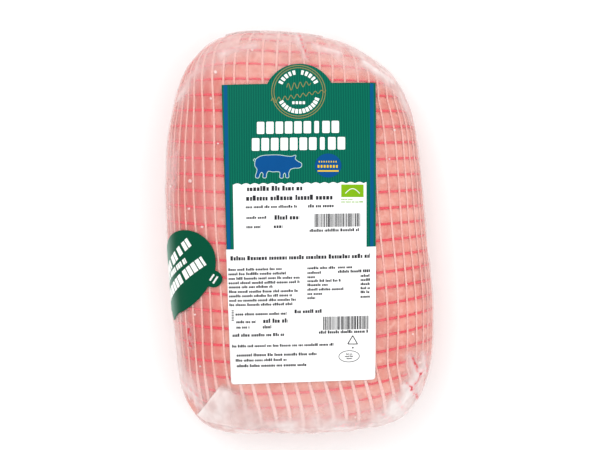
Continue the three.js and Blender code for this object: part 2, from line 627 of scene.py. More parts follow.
class Graph:
    """The node tree of one finish."""

    def __init__(self, name: str) -> None:
        """Starts an empty material.

        Args:
            name: The material's name.
        """
        self.material = bpy.data.materials.new(name)
        self.material.use_nodes = True
        self.tree = self.material.node_tree
        self.tree.nodes.clear()

    def node(self, kind: str, settings: dict | None = None, values: dict | list | None = None,
             output: int | str = 0) -> Signal:
        """Adds any node.

        Args:
            kind: The node's type.
            settings: Its own settings, set first.
            values: The values or links of its sockets, by name or in order.
            output: Which of its outputs to give back.

        Returns:
            That output, or nothing to read where the node has none.
        """
        made = self.tree.nodes.new(kind)
        for key, value in (settings or {}).items():
            setattr(made, key, value)
        pairs = values.items() if isinstance(values, dict) else enumerate(values or [])
        for key, value in pairs:
            socket = made.inputs[key]
            if isinstance(value, Signal):
                self.tree.links.new(value.socket, socket)
            else:
                socket.default_value = value
        return Signal(self, made.outputs[output] if made.outputs else None)

    def place(self) -> Signal:
        """Gives the place on the piece, in metres."""
        return self.node("ShaderNodeTexCoord", output="Object")

    def axis(self, vector: Signal, name: str) -> Signal:
        """Gives one part of a vector."""
        return self.node("ShaderNodeSeparateXYZ", None, [vector], name)

    def mark(self, name: str) -> Signal:
        """Gives a value kept on the mesh."""
        return self.node("ShaderNodeAttribute", {"attribute_name": name}, None, "Fac")

    def grain(self, scale: float, detail: float = 2.0, stretch: tuple = (1.0, 1.0, 1.0),
              offset: float = 0.0) -> Signal:
        """Gives noise from 0 to 1.

        Args:
            scale: How many grains there are to a metre.
            detail: How many finer layers there are.
            stretch: How much denser the grains are along each axis.
            offset: Shifts the noise so that two uses differ.

        Returns:
            The noise.
        """
        moved = self.node("ShaderNodeMapping", None, {
            "Vector": self.place(), "Scale": stretch, "Location": (offset, offset, offset),
        })
        return self.node("ShaderNodeTexNoise", None, {"Vector": moved, "Scale": scale, "Detail": detail})

    def blend(self, share: Signal | float, first: Signal | tuple, second: Signal | tuple) -> Signal:
        """Mixes two colours.

        Args:
            share: How much of the second there is.
            first: The first colour.
            second: The second colour.

        Returns:
            The mixed colour.
        """
        first, second = (color if isinstance(color, Signal) else (*color, 1.0) for color in (first, second))
        sockets = {MIX_SHARE: share, MIX_FIRST: first, MIX_SECOND: second}
        return self.node("ShaderNodeMix", {"data_type": "RGBA"}, sockets, MIX_COLOR)

    def bump(self, height: Signal, depth: float) -> Signal:
        """Turns a height from 0 to 1 into a normal.

        Args:
            height: The height.
            depth: How deep 1 is, in metres.

        Returns:
            The normal.
        """
        return self.node("ShaderNodeBump", None, {"Height": height, "Distance": depth, "Strength": 1.0})

    def finish(self, **values: Signal | float | tuple) -> bpy.types.Material:
        """Ends the tree in a Principled shader.

        Args:
            values: The shader's sockets, with _ for a space.

        Returns:
            The material.
        """
        named = {key.replace("_", " "): value for key, value in values.items()}
        for key, value in named.items():
            if isinstance(value, tuple) and len(value) == 3 and "Color" in key:
                named[key] = (*value, 1.0)
        shader = self.node("ShaderNodeBsdfPrincipled", None, named)
        self.node("ShaderNodeOutputMaterial", None, {"Surface": shader})
        return self.material


def ink(red: int, green: int, blue: int) -> tuple[float, float, float]:
    """Turns a colour as it is seen, 0 to 255, into linear light.

    Args:
        red: Its red.
        green: Its green.
        blue: Its blue.

    Returns:
        The colour in linear light.
    """
    def channel(value: int) -> float:
        """Turns one channel."""
        share = value / 255
        return share / 12.92 if share <= 0.04045 else ((share + 0.055) / 1.055) ** 2.4
    return channel(red), channel(green), channel(blue)


# --- Finishes --------------------------------------------------------------------------------


@dataclass(frozen=True)
class MeatFinish:
    """Moist cooked pork: mottled peach pink, pale under strands, red beside threads, tanned at the back.

    The paleness beside the strands is partly painted light that lifts the shade of the grooves.
    """

    lean: tuple = ink(208, 122, 108)
    pale: tuple = ink(228, 156, 139)
    light: tuple = ink(238, 186, 172)
    deep: tuple = ink(196, 82, 78)
    blush: tuple = ink(232, 96, 104)
    dark_side: float = -30 * MM
    rind: tuple = ink(206, 138, 96)
    rind_top: float = 14 * MM

    def build(self) -> bpy.types.Material:
        """Makes the material.

        Returns:
            The material.
        """
        graph = Graph("cooked_pork")
        mottle = graph.grain(70, 4.0).over(0.34, 0.66)
        color = graph.blend(mottle, self.lean, self.pale)
        cells = graph.grain(230, 3.0, offset=6.1).over(0.42, 0.7)
        color = graph.blend(cells * 0.4, color, self.lean)
        flecks = graph.grain(380, 3.0, offset=12.4).over(0.5, 0.66)
        color = graph.blend(flecks * 0.5, color, self.light)
        spots = graph.grain(300, 3.0, offset=15.8).over(0.55, 0.72)
        color = graph.blend(spots * 0.42, color, self.deep)
        fibre = graph.grain(420, 2.0, (1.0, 0.35, 1.0)).over(0.35, 0.75)
        color = graph.blend(fibre * 0.25, color, self.pale)
        stain = graph.grain(24, 2.0, offset=3.7).over(0.56, 0.74)
        color = graph.blend(stain * 0.25, color, self.deep)
        side = 1 - graph.axis(graph.place(), "X").over(self.dark_side - 16 * MM, self.dark_side)
        color = graph.blend(side * 0.88, color, self.deep)
        # Painted light, in part: paler towards the strands, to lift the shade of the grooves beside them; at
        # the bare corner this is the meat's own peach colour.
        color = graph.blend(graph.mark("groove") * 0.5, color, self.light)
        color = graph.blend(graph.mark("glow") * 0.55, color, self.blush)
        height = graph.axis(graph.place(), "Z")
        back = 1 - (height + (mottle - 0.5) * (6 * MM)).over(self.rind_top - 9 * MM, self.rind_top)
        color = graph.blend(back * 0.55, color, self.rind)
        fine = graph.grain(900, 3.0)
        wet = graph.grain(160, 2.0, offset=1.3)
        return graph.finish(
            Base_Color=color, Roughness=0.34 + wet * 0.2, Specular_IOR_Level=0.3,
            Normal=graph.bump(fine * 0.6 + wet * 0.4, 0.35 * MM),
        )


class Yarn(Enum):
    """The two yarns of the net."""

    STRAND = "strand"
    THREAD = "thread"


@dataclass(frozen=True)
class YarnFinish:
    """Knitted elastic yarn, wet with meat juice: off-white lengthwise, red crosswise."""

    yarn: Yarn
    light: tuple
    dark: tuple
    stitch: float
    soak: float = 0.0

    def build(self) -> bpy.types.Material:
        """Makes the material.

        Returns:
            The material.
        """
        graph = Graph(f"net_{self.yarn.value}")
        loops = (graph.mark("run") * (TAU / self.stitch)).sine() * 0.5 + 0.5
        wear_and_glare = graph.grain(90, 2.0).over(0.3, 0.7)
        soaked = graph.axis(graph.place(), "Y").over(-80 * MM, -60 * MM)
        color = graph.blend(loops * 0.2 + wear_and_glare * 0.3 + soaked * self.soak, self.light, self.dark)
        fuzz = graph.grain(1400, 2.0)
        return graph.finish(
            Base_Color=color, Roughness=0.5 + fuzz * 0.2,
            Normal=graph.bump(loops * 0.6 + fuzz * 0.4, 0.25 * MM),
        )


@dataclass(frozen=True)
class FilmFinish:
    """Clear shrunk film: glossy and milky where it is folded or loose.

    Where it is seen on its edge, round the rim and down the sides, its milk is partly a painted reflection;
    its small specks are painted glints.
    """

    milk: tuple = ink(255, 247, 245)
    tint: tuple = ink(252, 216, 211)
    juice: tuple = ink(206, 52, 66)
    clear: float = 0.02
    milky: float = 0.7

    def build(self) -> bpy.types.Material:
        """Makes the material.

        Returns:
            The material.
        """
        graph = Graph("shrunk_film")
        haze, juice = graph.mark("haze"), graph.mark("juice")
        streaks = graph.grain(105, 2.0, (1.0, 0.6, 1.0), 5.1).over(0.32, 0.68)
        fine = graph.grain(300, 1.0, (1.0, 0.5, 1.0), 9.6).over(0.35, 0.68)
        cloud = (haze * (0.58 + streaks * 0.34 + fine * 0.14)).clamped()
        color = graph.blend(cloud, self.tint, self.milk)
        clots = graph.grain(520, 2.0, offset=4.4).over(0.44, 0.6)
        juicy = (juice * (0.4 + clots * 0.85)).clamped()
        color = graph.blend(juicy, color, self.juice)
        creases = graph.grain(210, 3.0, (1.0, 0.5, 1.0), 8.4)
        cover = (self.clear + cloud * (self.milky - self.clear) + juicy * 0.85).clamped()
        return graph.finish(
            Base_Color=color, Alpha=cover, Roughness=0.24 + cloud * 0.25, Specular_IOR_Level=0.5,
            Normal=graph.bump(creases, 0.22 * MM),
        )


@dataclass(frozen=True)
class PaperFinish:
    """Coated label paper with a fine tooth and, if asked, fine lighter stripes along Y.

    If asked, it is also paler low down, where it rounds the pack's side: a painted glare.
    """

    name: str
    base: tuple
    stripe: tuple | None = None
    pitch: float = 1.12 * MM
    slant: float = 0.012
    gloss: float = 0.42
    shine: float = 0.05
    wear_and_glare: tuple | None = None

    def build(self) -> bpy.types.Material:
        """Makes the material.

        Returns:
            The material.
        """
        graph = Graph(self.name)
        tooth = graph.grain(700, 2.0)
        shade = tuple(channel * 0.94 for channel in self.base)
        color = graph.blend(graph.grain(40, 2.0).over(0.3, 0.7) * 0.5, self.base, shade)
        if self.stripe:
            across = graph.axis(graph.place(), "X") + graph.axis(graph.place(), "Y") * self.slant
            lines = (across * (TAU / self.pitch)).sine().over(-0.2, 0.9)
            color = graph.blend(lines * 0.75, color, self.stripe)
        # Painted glare: paler and greyer low down, where the sticker rounds the pack's side.
        if self.wear_and_glare:
            low = 1 - graph.axis(graph.place(), "Z").over(27 * MM, 40 * MM)
            color = graph.blend(low * (0.5 + tooth * 0.3), color, self.wear_and_glare)
        return graph.finish(
            Base_Color=color, Roughness=self.gloss + tooth * 0.12, Specular_IOR_Level=self.shine,
            Normal=graph.bump(tooth, 0.02 * MM),
        )


@dataclass(frozen=True)
class InkFinish:
    """Printing ink, a little uneven."""

    name: str
    base: tuple
    fade: float = 0.96

    def build(self) -> bpy.types.Material:
        """Makes the material.

        Returns:
            The material.
        """
        graph = Graph(self.name)
        wear_and_glare = graph.grain(260, 2.0).over(0.35, 0.7)
        shade = tuple(channel * self.fade for channel in self.base)
        tooth = graph.grain(900, 2.0)
        return graph.finish(
            Base_Color=graph.blend(wear_and_glare, self.base, shade), Roughness=0.4 + tooth * 0.15,
            Specular_IOR_Level=0.05, Normal=graph.bump(tooth, 0.01 * MM),
        )


@dataclass(frozen=True)
class FloorFinish:
    """A plain pale table."""

    base: tuple = (0.95, 0.95, 0.95)
    glow: float = 0.05

    def build(self) -> bpy.types.Material:
        """Makes the material.

        Returns:
            The material.
        """
        graph = Graph("pale_floor")
        wear_and_glare = tuple(0.99 * channel for channel in self.base)
        shade = graph.blend(graph.grain(3, 1.0), self.base, wear_and_glare)
        return graph.finish(
            Base_Color=shade, Roughness=0.8, Emission_Color=(1, 1, 1, 1), Emission_Strength=self.glow,
        )


# --- The ham and its net ---------------------------------------------------------------------


@dataclass
class Ham:
    """The meat: it swells between the net's yarns and is bitten by them.

    The bare corner, where it swells over the net, is a place and a reach in millimetres.
    """

    net: NetPlan
    crest_depth: float = 0.8 * MM
    bite: float = 0.42 * MM
    thread_bite: float = 0.5 * MM
    dent: float = 0.5 * MM
    dent_size: float = 26 * MM
    bare_corner: tuple[float, float, float] = (-54.0, -84.5, 6.5)
    bare_height: tuple[float, float] = (14 * MM, 20 * MM)
    swell: float = 0.35 * MM
    glow_reach: float = 1.1 * MM
    end_fade: float = 3 * MM
    columns: int = 343
    rows: int = 262

    def _cushion(self, number: Array, edge: float) -> Array:
        """Gives 0 on a yarn, where the number is whole, and 1 between two."""
        away = np.abs((number % 1) - 0.5) * 2
        return 1 - smooth_step(away, edge, 1.0)

    def _bare(self, place: Array) -> Array:
        """Gives 1 at the corner where the meat swells over the net, and 0 elsewhere.

        Args:
            place: The places.

        Returns:
            One value for each place.
        """
        x, y, reach = self.bare_corner
        near = np.exp(-(((place[:, 0] / MM - x) ** 2 + (place[:, 1] / MM - y) ** 2) / reach**2))
        return smooth_step(near, 0.25, 0.6) * smooth_step(place[:, 2], *self.bare_height)

    def groove(self, turn: Array, along: Array) -> Array:
        """Gives 1 under a strand or at the bare corner and 0 between, at shares of the tube.

        Args:
            turn: The shares of the way round the tube.
            along: The shares of the way along the tube.

        Returns:
            One value for each place.
        """
        length = along * self.net.tube.length
        bare = self._bare(self.net.tube.at(length, turn, 0.0))
        return np.maximum(1 - self._cushion(self.net.number_of(turn, length), 0.35), bare)

    def glow(self, turn: Array, along: Array) -> Array:
        """Gives 1 beside a thread, falling to 0 a little way off, at shares of the tube.

        Args:
            turn: The shares of the way round the tube.
            along: The shares of the way along the tube.

        Returns:
            One value for each place.
        """
        length = along * self.net.tube.length
        number = self.net.thread_number(length, turn)
        away = np.abs(number - np.round(number)) * self.net.pitch
        bare = self._bare(self.net.tube.at(length, turn, 0.0))
        return np.exp(-((away / self.glow_reach) ** 2)) * (1 - 0.7 * self.groove(turn, along)) * (1 - bare)

    def _place(self, turn: Array, along: Array) -> Array:
        """Lays the meat's face on the tube.

        Args:
            turn: The shares of the way round the tube.
            along: The shares of the way along the tube.

        Returns:
            The places.
        """
        tube = self.net.tube
        length = along * tube.length
        across = self._cushion(self.net.number_of(turn, length), 0.1)
        down = self._cushion(self.net.thread_number(length, turn), 0.3)
        skin = tube.at(length, turn, 0.0)
        dents = np.clip(ripple(skin, self.dent_size, 2, 11.0), 0, 1)
        bare = self._bare(skin)
        low = self.bite * (1 - across) + self.thread_bite * (1 - down) + self.dent * dents
        low = low * (1 - bare) - self.swell * bare
        fade = np.clip(tube.from_end(length) / self.end_fade, 0, 1)
        return tube.at(length, turn, self.crest_depth + low * fade + self.bite * (1 - fade))

    def build(self, finish: MeatFinish) -> None:
        """Makes the piece.

        Args:
            finish: The meat's finish.
        """
        marks = {"groove": self.groove, "glow": self.glow}
        mesh = mapped_grid(self.columns, self.rows, self._place, marks)
        close_ends(mesh)
        add_piece(to_object(mesh, "ham_meat", finish.build()), "ham")


@dataclass
class Netting:
    """The elastic net: flat lengthwise strands that cross over round crosswise threads."""

    net: NetPlan
    strand_width: float = 1.05 * MM
    strand_thick: float = 0.36 * MM
    strand_depth: float = 0.98 * MM
    wide_end: float = 1.75
    wide_rows: tuple[float, float] = (-60 * MM, -76 * MM)
    wander: float = 0.07
    wander_run: float = 21 * MM
    thread_radius: float = 0.6 * MM
    thread_depth: float = 1.45 * MM
    thread_dip: float = 0.16 * MM
    thread_girth: float = 0.3
    end_gap: float = 1.2 * MM
    strand_steps: int = 110
    strand_sides: int = 6
    thread_steps: int = 260
    thread_sides: int = 5

    def _strand(self, mesh: bmesh.types.BMesh, number: int) -> None:
        """Adds one strand to the mesh, as a flat band with round edges.

        Args:
            mesh: The mesh of all strands.
            number: The strand's number.
        """
        tube = self.net.tube
        start, full = (-tube.length_at(row) for row in self.wide_rows)

        def place(along: Array, side: Array) -> Array:
            """Lays the band on the tube.

            Args:
                along: The shares of the way along the strand.
                side: The shares of the way round it.

            Returns:
                The places.
            """
            length = self.end_gap + along * (tube.length - 2 * self.end_gap)
            wander = self.wander * np.sin(length / self.wander_run + number * 1.7)
            middle = self.net.turn_of(number + wander, length)
            angle = side * TAU
            pinch = np.clip(tube.girth_at(length) / self.net.strands / (self.strand_width * 1.15), 0.3, 1)
            wide = 1 + (self.wide_end - 1) * smooth_step(-length, start, full)
            across = np.cos(angle) * self.strand_width * wide / 2 * pinch / tube.girth_at(length)
            depth = self.strand_depth - np.sin(angle) * self.strand_thick / 2
            return tube.at(length, middle + across, depth)

        run = {"run": lambda along, _: along * tube.length}
        part = mapped_grid(self.strand_steps, self.strand_sides, place, run)
        close_ends(part)
        append(mesh, part)

    def _thread(self, mesh: bmesh.types.BMesh, index: int) -> None:
        """Adds one thread to the mesh, as a ring of round yarn.

        Args:
            mesh: The mesh of all threads.
            index: The thread's number.
        """
        tube = self.net.tube

        def place(turn: Array, side: Array) -> Array:
            """Lays the ring on the tube.

            Args:
                turn: The shares of the way round the tube.
                side: The shares of the way round the yarn.

            Returns:
                The places.
            """
            middle = self.net.thread_path(index, turn)
            number = self.net.number_of(turn, middle)
            dip = np.cos(number * TAU) * self.thread_dip
            angle = side * TAU
            depth = self.thread_depth + dip - np.sin(angle) * self.thread_radius
            return tube.at(middle + np.cos(angle) * self.thread_radius, turn, depth)

        run = {"run": lambda turn, _: turn * self.thread_girth}
        part = mapped_grid(self.thread_steps, self.thread_sides, place, run)
        close_ends(part)
        append(mesh, part)

    def build(self, strand_finish: YarnFinish, thread_finish: YarnFinish) -> None:
        """Makes the strands and the threads.

        Args:
            strand_finish: The lengthwise yarn's finish.
            thread_finish: The crosswise yarn's finish.
        """
        strands, threads = bmesh.new(), bmesh.new()
        for holder in (strands, threads):
            holder.verts.layers.float.new("run")
        for number in range(self.net.strands):
            self._strand(strands, number)
        for index in range(1, self.net.thread_count() - 1):
            self._thread(threads, index)
        add_piece(to_object(strands, "net_strands", strand_finish.build()), "netting")
        add_piece(to_object(threads, "net_threads", thread_finish.build()), "netting")


def append(target: bmesh.types.BMesh, part: bmesh.types.BMesh) -> None:
    """Adds a mesh to another and frees it.

    Args:
        target: The mesh that grows.
        part: The mesh that is added and freed.
    """
    holder = bpy.data.meshes.new("part")
    part.to_mesh(holder)
    part.free()
    target.from_mesh(holder)
    bpy.data.meshes.remove(holder)


# --- The film --------------------------------------------------------------------------------


@dataclass(frozen=True)
class Patch:
    """An oval where the film is milkier, or clearer if its milk is negative. Lengths are in millimetres."""

    x: float
    y: float
    long: float
    wide: float
    turn: float
    milk: float

    def share(self, place: Array) -> Array:
        """Gives 1 in the middle of the patch, falling to 0 at its rim.

        Args:
            place: The places, in metres.

        Returns:
            One share for each place.
        """
        angle = math.radians(self.turn)
        across, up = place[:, 0] / MM - self.x, place[:, 1] / MM - self.y
        first = across * math.cos(angle) + up * math.sin(angle)
        second = up * math.cos(angle) - across * math.sin(angle)
        return np.exp(-((first / self.long) ** 2 + (second / self.wide) ** 2))


@dataclass(frozen=True)
class Crease:
    """A crease in the film, between two ends in plan. Lengths are in millimetres.

    The film to the right of its run, as seen from its start, may be double and milky.
    """

    start: Point
    end: Point
    reach: float
    milk: float
    lift: float = 0.0
    juice: float = 0.0
    wide: float = 1.2

    def _away(self, place: Array) -> tuple[Array, Array]:
        """Gives how far to the right places lie, and 1 beside the crease's run and 0 past its ends.

        Args:
            place: The places, in metres.

        Returns:
            The distances in millimetres, and the shares.
        """
        run = np.array(self.end) - self.start
        length = np.linalg.norm(run)
        way = run / length
        spot = place[:, :2] / MM - self.start
        along = spot @ way
        beside = smooth_step(along, -1.5, 1.0) * (1 - smooth_step(along, length - 1.0, length + 1.5))
        return spot @ np.array([way[1], -way[0]]), beside

    def veil(self, place: Array) -> Array:
        """Gives how much milkier the film is.

        Args:
            place: The places, in metres.

        Returns:
            One value for each place.
        """
        away, beside = self._away(place)
        fall = np.exp(-((np.maximum(away, 0) / self.reach) ** 2))
        return self.milk * beside * smooth_step(away, -0.7, 0.5) * fall

    def ridge(self, place: Array) -> Array:
        """Gives how far the film stands up, in metres."""
        away, beside = self._away(place)
        return self.lift * MM * beside * np.exp(-((away / self.wide) ** 2))

    def red(self, place: Array) -> Array:
        """Gives how much meat juice has run into the crease."""
        away, beside = self._away(place)
        return self.juice * beside * np.exp(-(((away + 0.6) / (0.8 * self.wide)) ** 2))


@dataclass
class VacuumFilm:
    """The shrunk bag: it follows the meat closely and puckers round the rim.

    Patches, creases, glint_bubbles, the seal and the fold are given in millimetres. A glint bubble is a place
    and a size; it is a flat bubble painted milky white as a glint. The seal is its left, right, low and high
    edge, and the fold is its two near and its two far corners. The foot is the height in metres below which
    the skin lies at a depth of its own, and that depth.
    """

    net: NetPlan
    wall: float = 0.15 * MM
    emboss: float = 0.16 * MM
    pucker: float = 0.55 * MM
    deepest: float = 0.45 * MM
    rest_depth: float = 0.12 * MM
    foot: tuple[float, float] = (0.5 * MM, 0.02 * MM)
    face_height: tuple[float, float] = (12 * MM, 20 * MM)
    rim_height: tuple[float, float] = (1 * MM, 8 * MM)
    pucker_size: float = 15 * MM
    cloud_size: float = 20 * MM
    end_fade: float = 3 * MM
    columns: int = 250
    rows: int = 184
    patches: Sequence[Patch] = (
        Patch(47, 68, 20, 4.5, -50, 0.6), Patch(28, 86, 18, 4.5, -22, 0.4), Patch(-46, 76, 20, 5, 48, 0.3),
        Patch(-14, 91, 36, 8, 4, 0.24), Patch(0, -92, 46, 5.5, 0, 0.6), Patch(-34, -88, 16, 6, 20, 0.35),
        Patch(48, -83, 14, 7, 40, 0.75), Patch(55, -66, 6, 12, 0, 0.4), Patch(-58, -60, 4, 22, 0, 0.5),
        Patch(-61, 16, 3, 36, 0, 0.3), Patch(-51, -73, 8, 9, 30, 0.55), Patch(5, -82, 46, 9, 0, 0.4),
        Patch(22, 78, 12, 4, -20, 0.3), Patch(-34, 82, 14, 4, 30, 0.2), Patch(-50, 40, 7, 24, 10, 0.08),
        Patch(-2, 82, 34, 9, 0, 0.14), Patch(-55, -85, 5, 6, 0, -1.1), Patch(-48, -30, 8, 14, 0, 0.06),
    )
    creases: Sequence[Crease] = (
        Crease((-50, -88.5), (-36.5, -71), 5, 0.2, 0.5), Crease((-1, 94), (3.3, 80.5), 2, 0.5, 0.7, 0.8),
        Crease((-52, -43), (-51.6, -53.6), 1, 0.05, 0.3, 1.6),
        Crease((-58.6, 20), (-57.2, 38), 1, 0.1, 0.2, 0.6),
        Crease((51, -56), (55, -66), 2.5, 0.6, 0.8, 1.0), Crease((57, -64), (52, -73), 2.5, 0.6, 0.9, 1.0),
        Crease((49, -70), (56, -79), 2.5, 0.7, 0.9, 0.9), Crease((44, -77), (52, -88), 3, 0.7, 0.8, 0.5),
        Crease((38, -85), (47, -93), 3, 0.6, 0.7, 0.4), Crease((58.5, -56), (59.5, -66), 2, 0.4, 0.5, 0.7),
        Crease((-48, -79), (-40, -84), 2, 0.3, 0.5, 0.35), Crease((-56, -70), (-47, -77), 2, 0.4, 0.5, 0.5),
        Crease((-30, -93), (-10, -93.5), 2, 0.3, 0.4, 0.4),
        Crease((16, -91.5), (34, -90.5), 2, 0.3, 0.4, 0.45),
        Crease((-38, 84), (-20, 88), 2, 0.3, 0.4, 0.35), Crease((6, 88), (20, 84), 2.5, 0.5, 0.5, 0.25),
        Crease((30, 81), (44, 71), 2.5, 0.5, 0.6, 0.2), Crease((48, 66), (54, 50), 2, 0.4, 0.5, 0.2),
        Crease((-58, 62), (-48, 78), 2, 0.3, 0.4, 0.2),
    )
    glint_bubbles: Sequence[tuple] = (
        (-60.2, 21.6, 0.9), (-50.7, 23.9, 1.1), (-60.6, 12.1, 0.7), (-51.2, 11.1, 0.8), (-37.6, 41, 0.6),
        (-45.0, 2.6, 0.8), (41.5, 34.0, 0.6), (44.0, 47.5, 0.7), (49.5, -24.0, 0.6), (-53.0, 33.5, 0.6),
        (52.5, -47.0, 0.6), (56.0, -60.5, 0.9), (53.5, -76.0, 1.0), (-41.0, 62.0, 0.8), (-48.5, -38.0, 0.6),
        (-39.0, 74.5, 1.0), (37.5, 76.0, 0.9), (-22.0, 85.0, 0.8), (26.0, -86.0, 0.7), (-46.0, -62.0, 0.6),
    )
    bubble_radius: float = 0.75 * MM
    seal: tuple = (-35.0, 11.0, 9.0, 19.5)
    seal_start: float = 60 * MM
    seal_lift: float = 0.75 * MM
    seal_rib: float = 0.12 * MM
    seal_wave: float = 0.35 * MM
    seal_steps: tuple[int, int] = (60, 36)
    fold: tuple = ((-49.2, -87.4), (-35.6, -69.4), (-14.0, -93.8), (-24.0, -74.0))
    fold_reach: float = 0.975
    fold_lift: float = 0.28 * MM
    fold_edge: float = 0.3 * MM
    fold_wave: float = 0.1 * MM
    fold_steps: tuple[int, int] = (34, 40)

    def _above(self, place: Array) -> Array:
        """Gives 1 over the flat face and 0 on the sides and the underside."""
        return smooth_step(place[:, 2], *self.face_height)

    def _haze(self, turn: Array, along: Array) -> Array:
        """Gives how milky the film looks, at shares of the tube, partly as a painted reflection along the rim
        and sides.

        Args:
            turn: The shares of the way round the tube.
            along: The shares of the way along the tube.

        Returns:
            One value for each place.
        """
        tube = self.net.tube
        place = tube.at(along * tube.length, turn, 0.0)
        rim = smooth_step(self.net.tube.form.plan_reach(place[:, 0], place[:, 1]), 0.86, 1.0)
        above = self._above(place)
        # Painted reflection, in part: the film is milkier round the rim of the top and down the sides, where
        # loose film is milky and where it stands for the bright edge-on reflection.
        veil = 0.05 + 0.17 * rim * above + 0.15 * (1 - above)
        for patch in self.patches:
            veil = veil + patch.milk * patch.share(place) * above
        for crease in self.creases:
            veil = veil + crease.veil(place) * above
        return np.clip(veil + 0.06 * ripple(place, self.cloud_size, 3, 4.0), 0, 1)

    def _juice(self, turn: Array, along: Array) -> Array:
        """Gives how red the film looks, at shares of the tube.

        Args:
            turn: The shares of the way round the tube.
            along: The shares of the way along the tube.

        Returns:
            One value for each place.
        """
        tube = self.net.tube
        place = tube.at(along * tube.length, turn, 0.0)
        above = self._above(place)
        red = sum(crease.red(place) for crease in self.creases)
        return np.clip(red, 0, 1) * above

    def _place(self, turn: Array, along: Array) -> Array:
        """Lays the film's outer face on the tube.

        Args:
            turn: The shares of the way round the tube.
            along: The shares of the way along the tube.

        Returns:
            The places.
        """
        tube = self.net.tube
        length = along * tube.length
        skin = tube.at(length, turn, 0.0)
        reach = tube.form.plan_reach(skin[:, 0], skin[:, 1])
        rim = smooth_step(reach, 0.7, 0.95) * smooth_step(skin[:, 2], *self.rim_height)
        strand = np.abs((self.net.number_of(turn, length) % 1) - 0.5) * 2
        stretched = skin * np.array([1.0, 0.6, 1.0])
        fold = 1 - 2 * np.abs(ripple(stretched, self.pucker_size, 3, 7.0))
        depth = self.rest_depth + self.emboss * smooth_step(strand, 0.5, 1.0)
        depth = depth - self.pucker * rim * (fold - 0.75)
        above = self._above(skin) * (1 - smooth_step(reach, 0.9, 0.985))
        depth = np.minimum(depth, self.deepest)
        for crease in self.creases:
            depth = depth - crease.ridge(skin) * above
        seam = np.clip(tube.from_end(length) / self.end_fade, 0, 1)
        foot_height, foot_depth = self.foot
        return tube.at(length, turn, np.where(skin[:, 2] < foot_height, foot_depth, depth * seam))

    def _glint_bubbles(self) -> bmesh.types.BMesh:
        """Makes each small flat air bubble under the film, painted milky white as a glint.

        Returns:
            The bubbles.
        """
        form = self.net.tube.form
        mesh = bmesh.new()
        layer = mesh.verts.layers.float.new("haze")
        squashed = Matrix.Diagonal((1.0, 1.3, 0.3, 1.0))
        for x, y, size in self.glint_bubbles:
            spot = form.meet(np.array([[x * MM, y * MM, form.widest]]), np.array([UP]))
            turned = Vector(form.normal(spot)[0]).to_track_quat("Z", "Y").to_matrix().to_4x4()
            bmesh.ops.create_icosphere(mesh, subdivisions=2, radius=size * self.bubble_radius,
                                       matrix=Matrix.Translation(spot[0]) @ turned @ squashed)
        # Painted glints: each bubble is milky white all over, standing in for a small glint of wet gloss.
        for vert in mesh.verts:
            vert[layer] = 0.7
        return mesh

    def _fold(self) -> bmesh.types.BMesh:
        """Makes the ear of double film at the -X, -Y corner: one crisp edge, then it melts into the skin.

        Returns:
            The ear.
        """
        form = self.net.tube.form
        low, high, far_low, far_high = (np.array(spot) * MM for spot in self.fold)

        def place(along: Array, across: Array) -> Array:
            """Lays the ear on the skin.

            Args:
                along: The shares of the way along its crisp edge.
                across: The shares of the way off that edge.

            Returns:
                The places.
            """
            near = low + (high - low) * along[:, None]
            far = far_low + (far_high - far_low) * along[:, None]
            plan = near + (far - near) * across[:, None]
            reach = form.plan_reach(plan[:, 0], plan[:, 1])
            plan = plan * np.minimum(1, self.fold_reach / reach)[:, None]
            start = np.stack([plan[:, 0], plan[:, 1], np.full(len(along), form.widest)], 1)
            spot = form.meet(start, np.tile(UP, (len(along), 1)))
            wave = self.fold_wave * np.sin(along * 2.3 * TAU + across * 5)
            lift = self.fold_lift + self.fold_edge * np.exp(-((across / 0.07) ** 2)) + wave * (1 - across)
            return spot + form.normal(spot) * lift[:, None]

        def haze(along: Array, across: Array) -> Array:
            """Gives how milky the ear is.

            Args:
                along: The shares of the way along its crisp edge.
                across: The shares of the way off that edge.

            Returns:
                One value for each place.
            """
            edge = np.exp(-((across / 0.045) ** 2))
            milk = 0.88 * (1 - smooth_step(across, 0.12, 0.9)) + 0.12 * edge
            return milk * (1 - smooth_step(along, 0.8, 1.0))

        mesh = mapped_grid(*self.fold_steps, place, {"haze": haze})
        thicken(mesh, self.wall)
        return mesh

    def _seal(self) -> bmesh.types.BMesh:
        """Makes the bag's welded end, folded down against the +Y end.

        Returns:
            The flap.
        """
        form = self.net.tube.form
        left, right, low, high = (side * MM for side in self.seal)

        def place(across: Array, up: Array) -> Array:
            """Lays the flap on the end, with ribs across the weld.

            Args:
                across: The shares of the way across the flap.
                up: The shares of the way up it.

            Returns:
                The places.
            """
            height = low + (high - low) * up
            start = np.stack([left + (right - left) * across, np.full(len(up), self.seal_start), height], 1)
            spot = form.meet(start, np.tile(AHEAD, (len(up), 1)))
            rib = self.seal_rib * np.sin(up * 7 * TAU) * smooth_step(0.6 - up, 0.0, 0.1)
            wave = self.seal_wave * np.sin(across * 3.3 * TAU + 1.0) * (1 - up)
            return spot + form.normal(spot) * (self.seal_lift + rib + wave)[:, None]

        mesh = mapped_grid(*self.seal_steps, place, {"haze": lambda across, up: 0.55 + 0.4 * (1 - up)})
        thicken(mesh, 2 * self.wall)
        return mesh

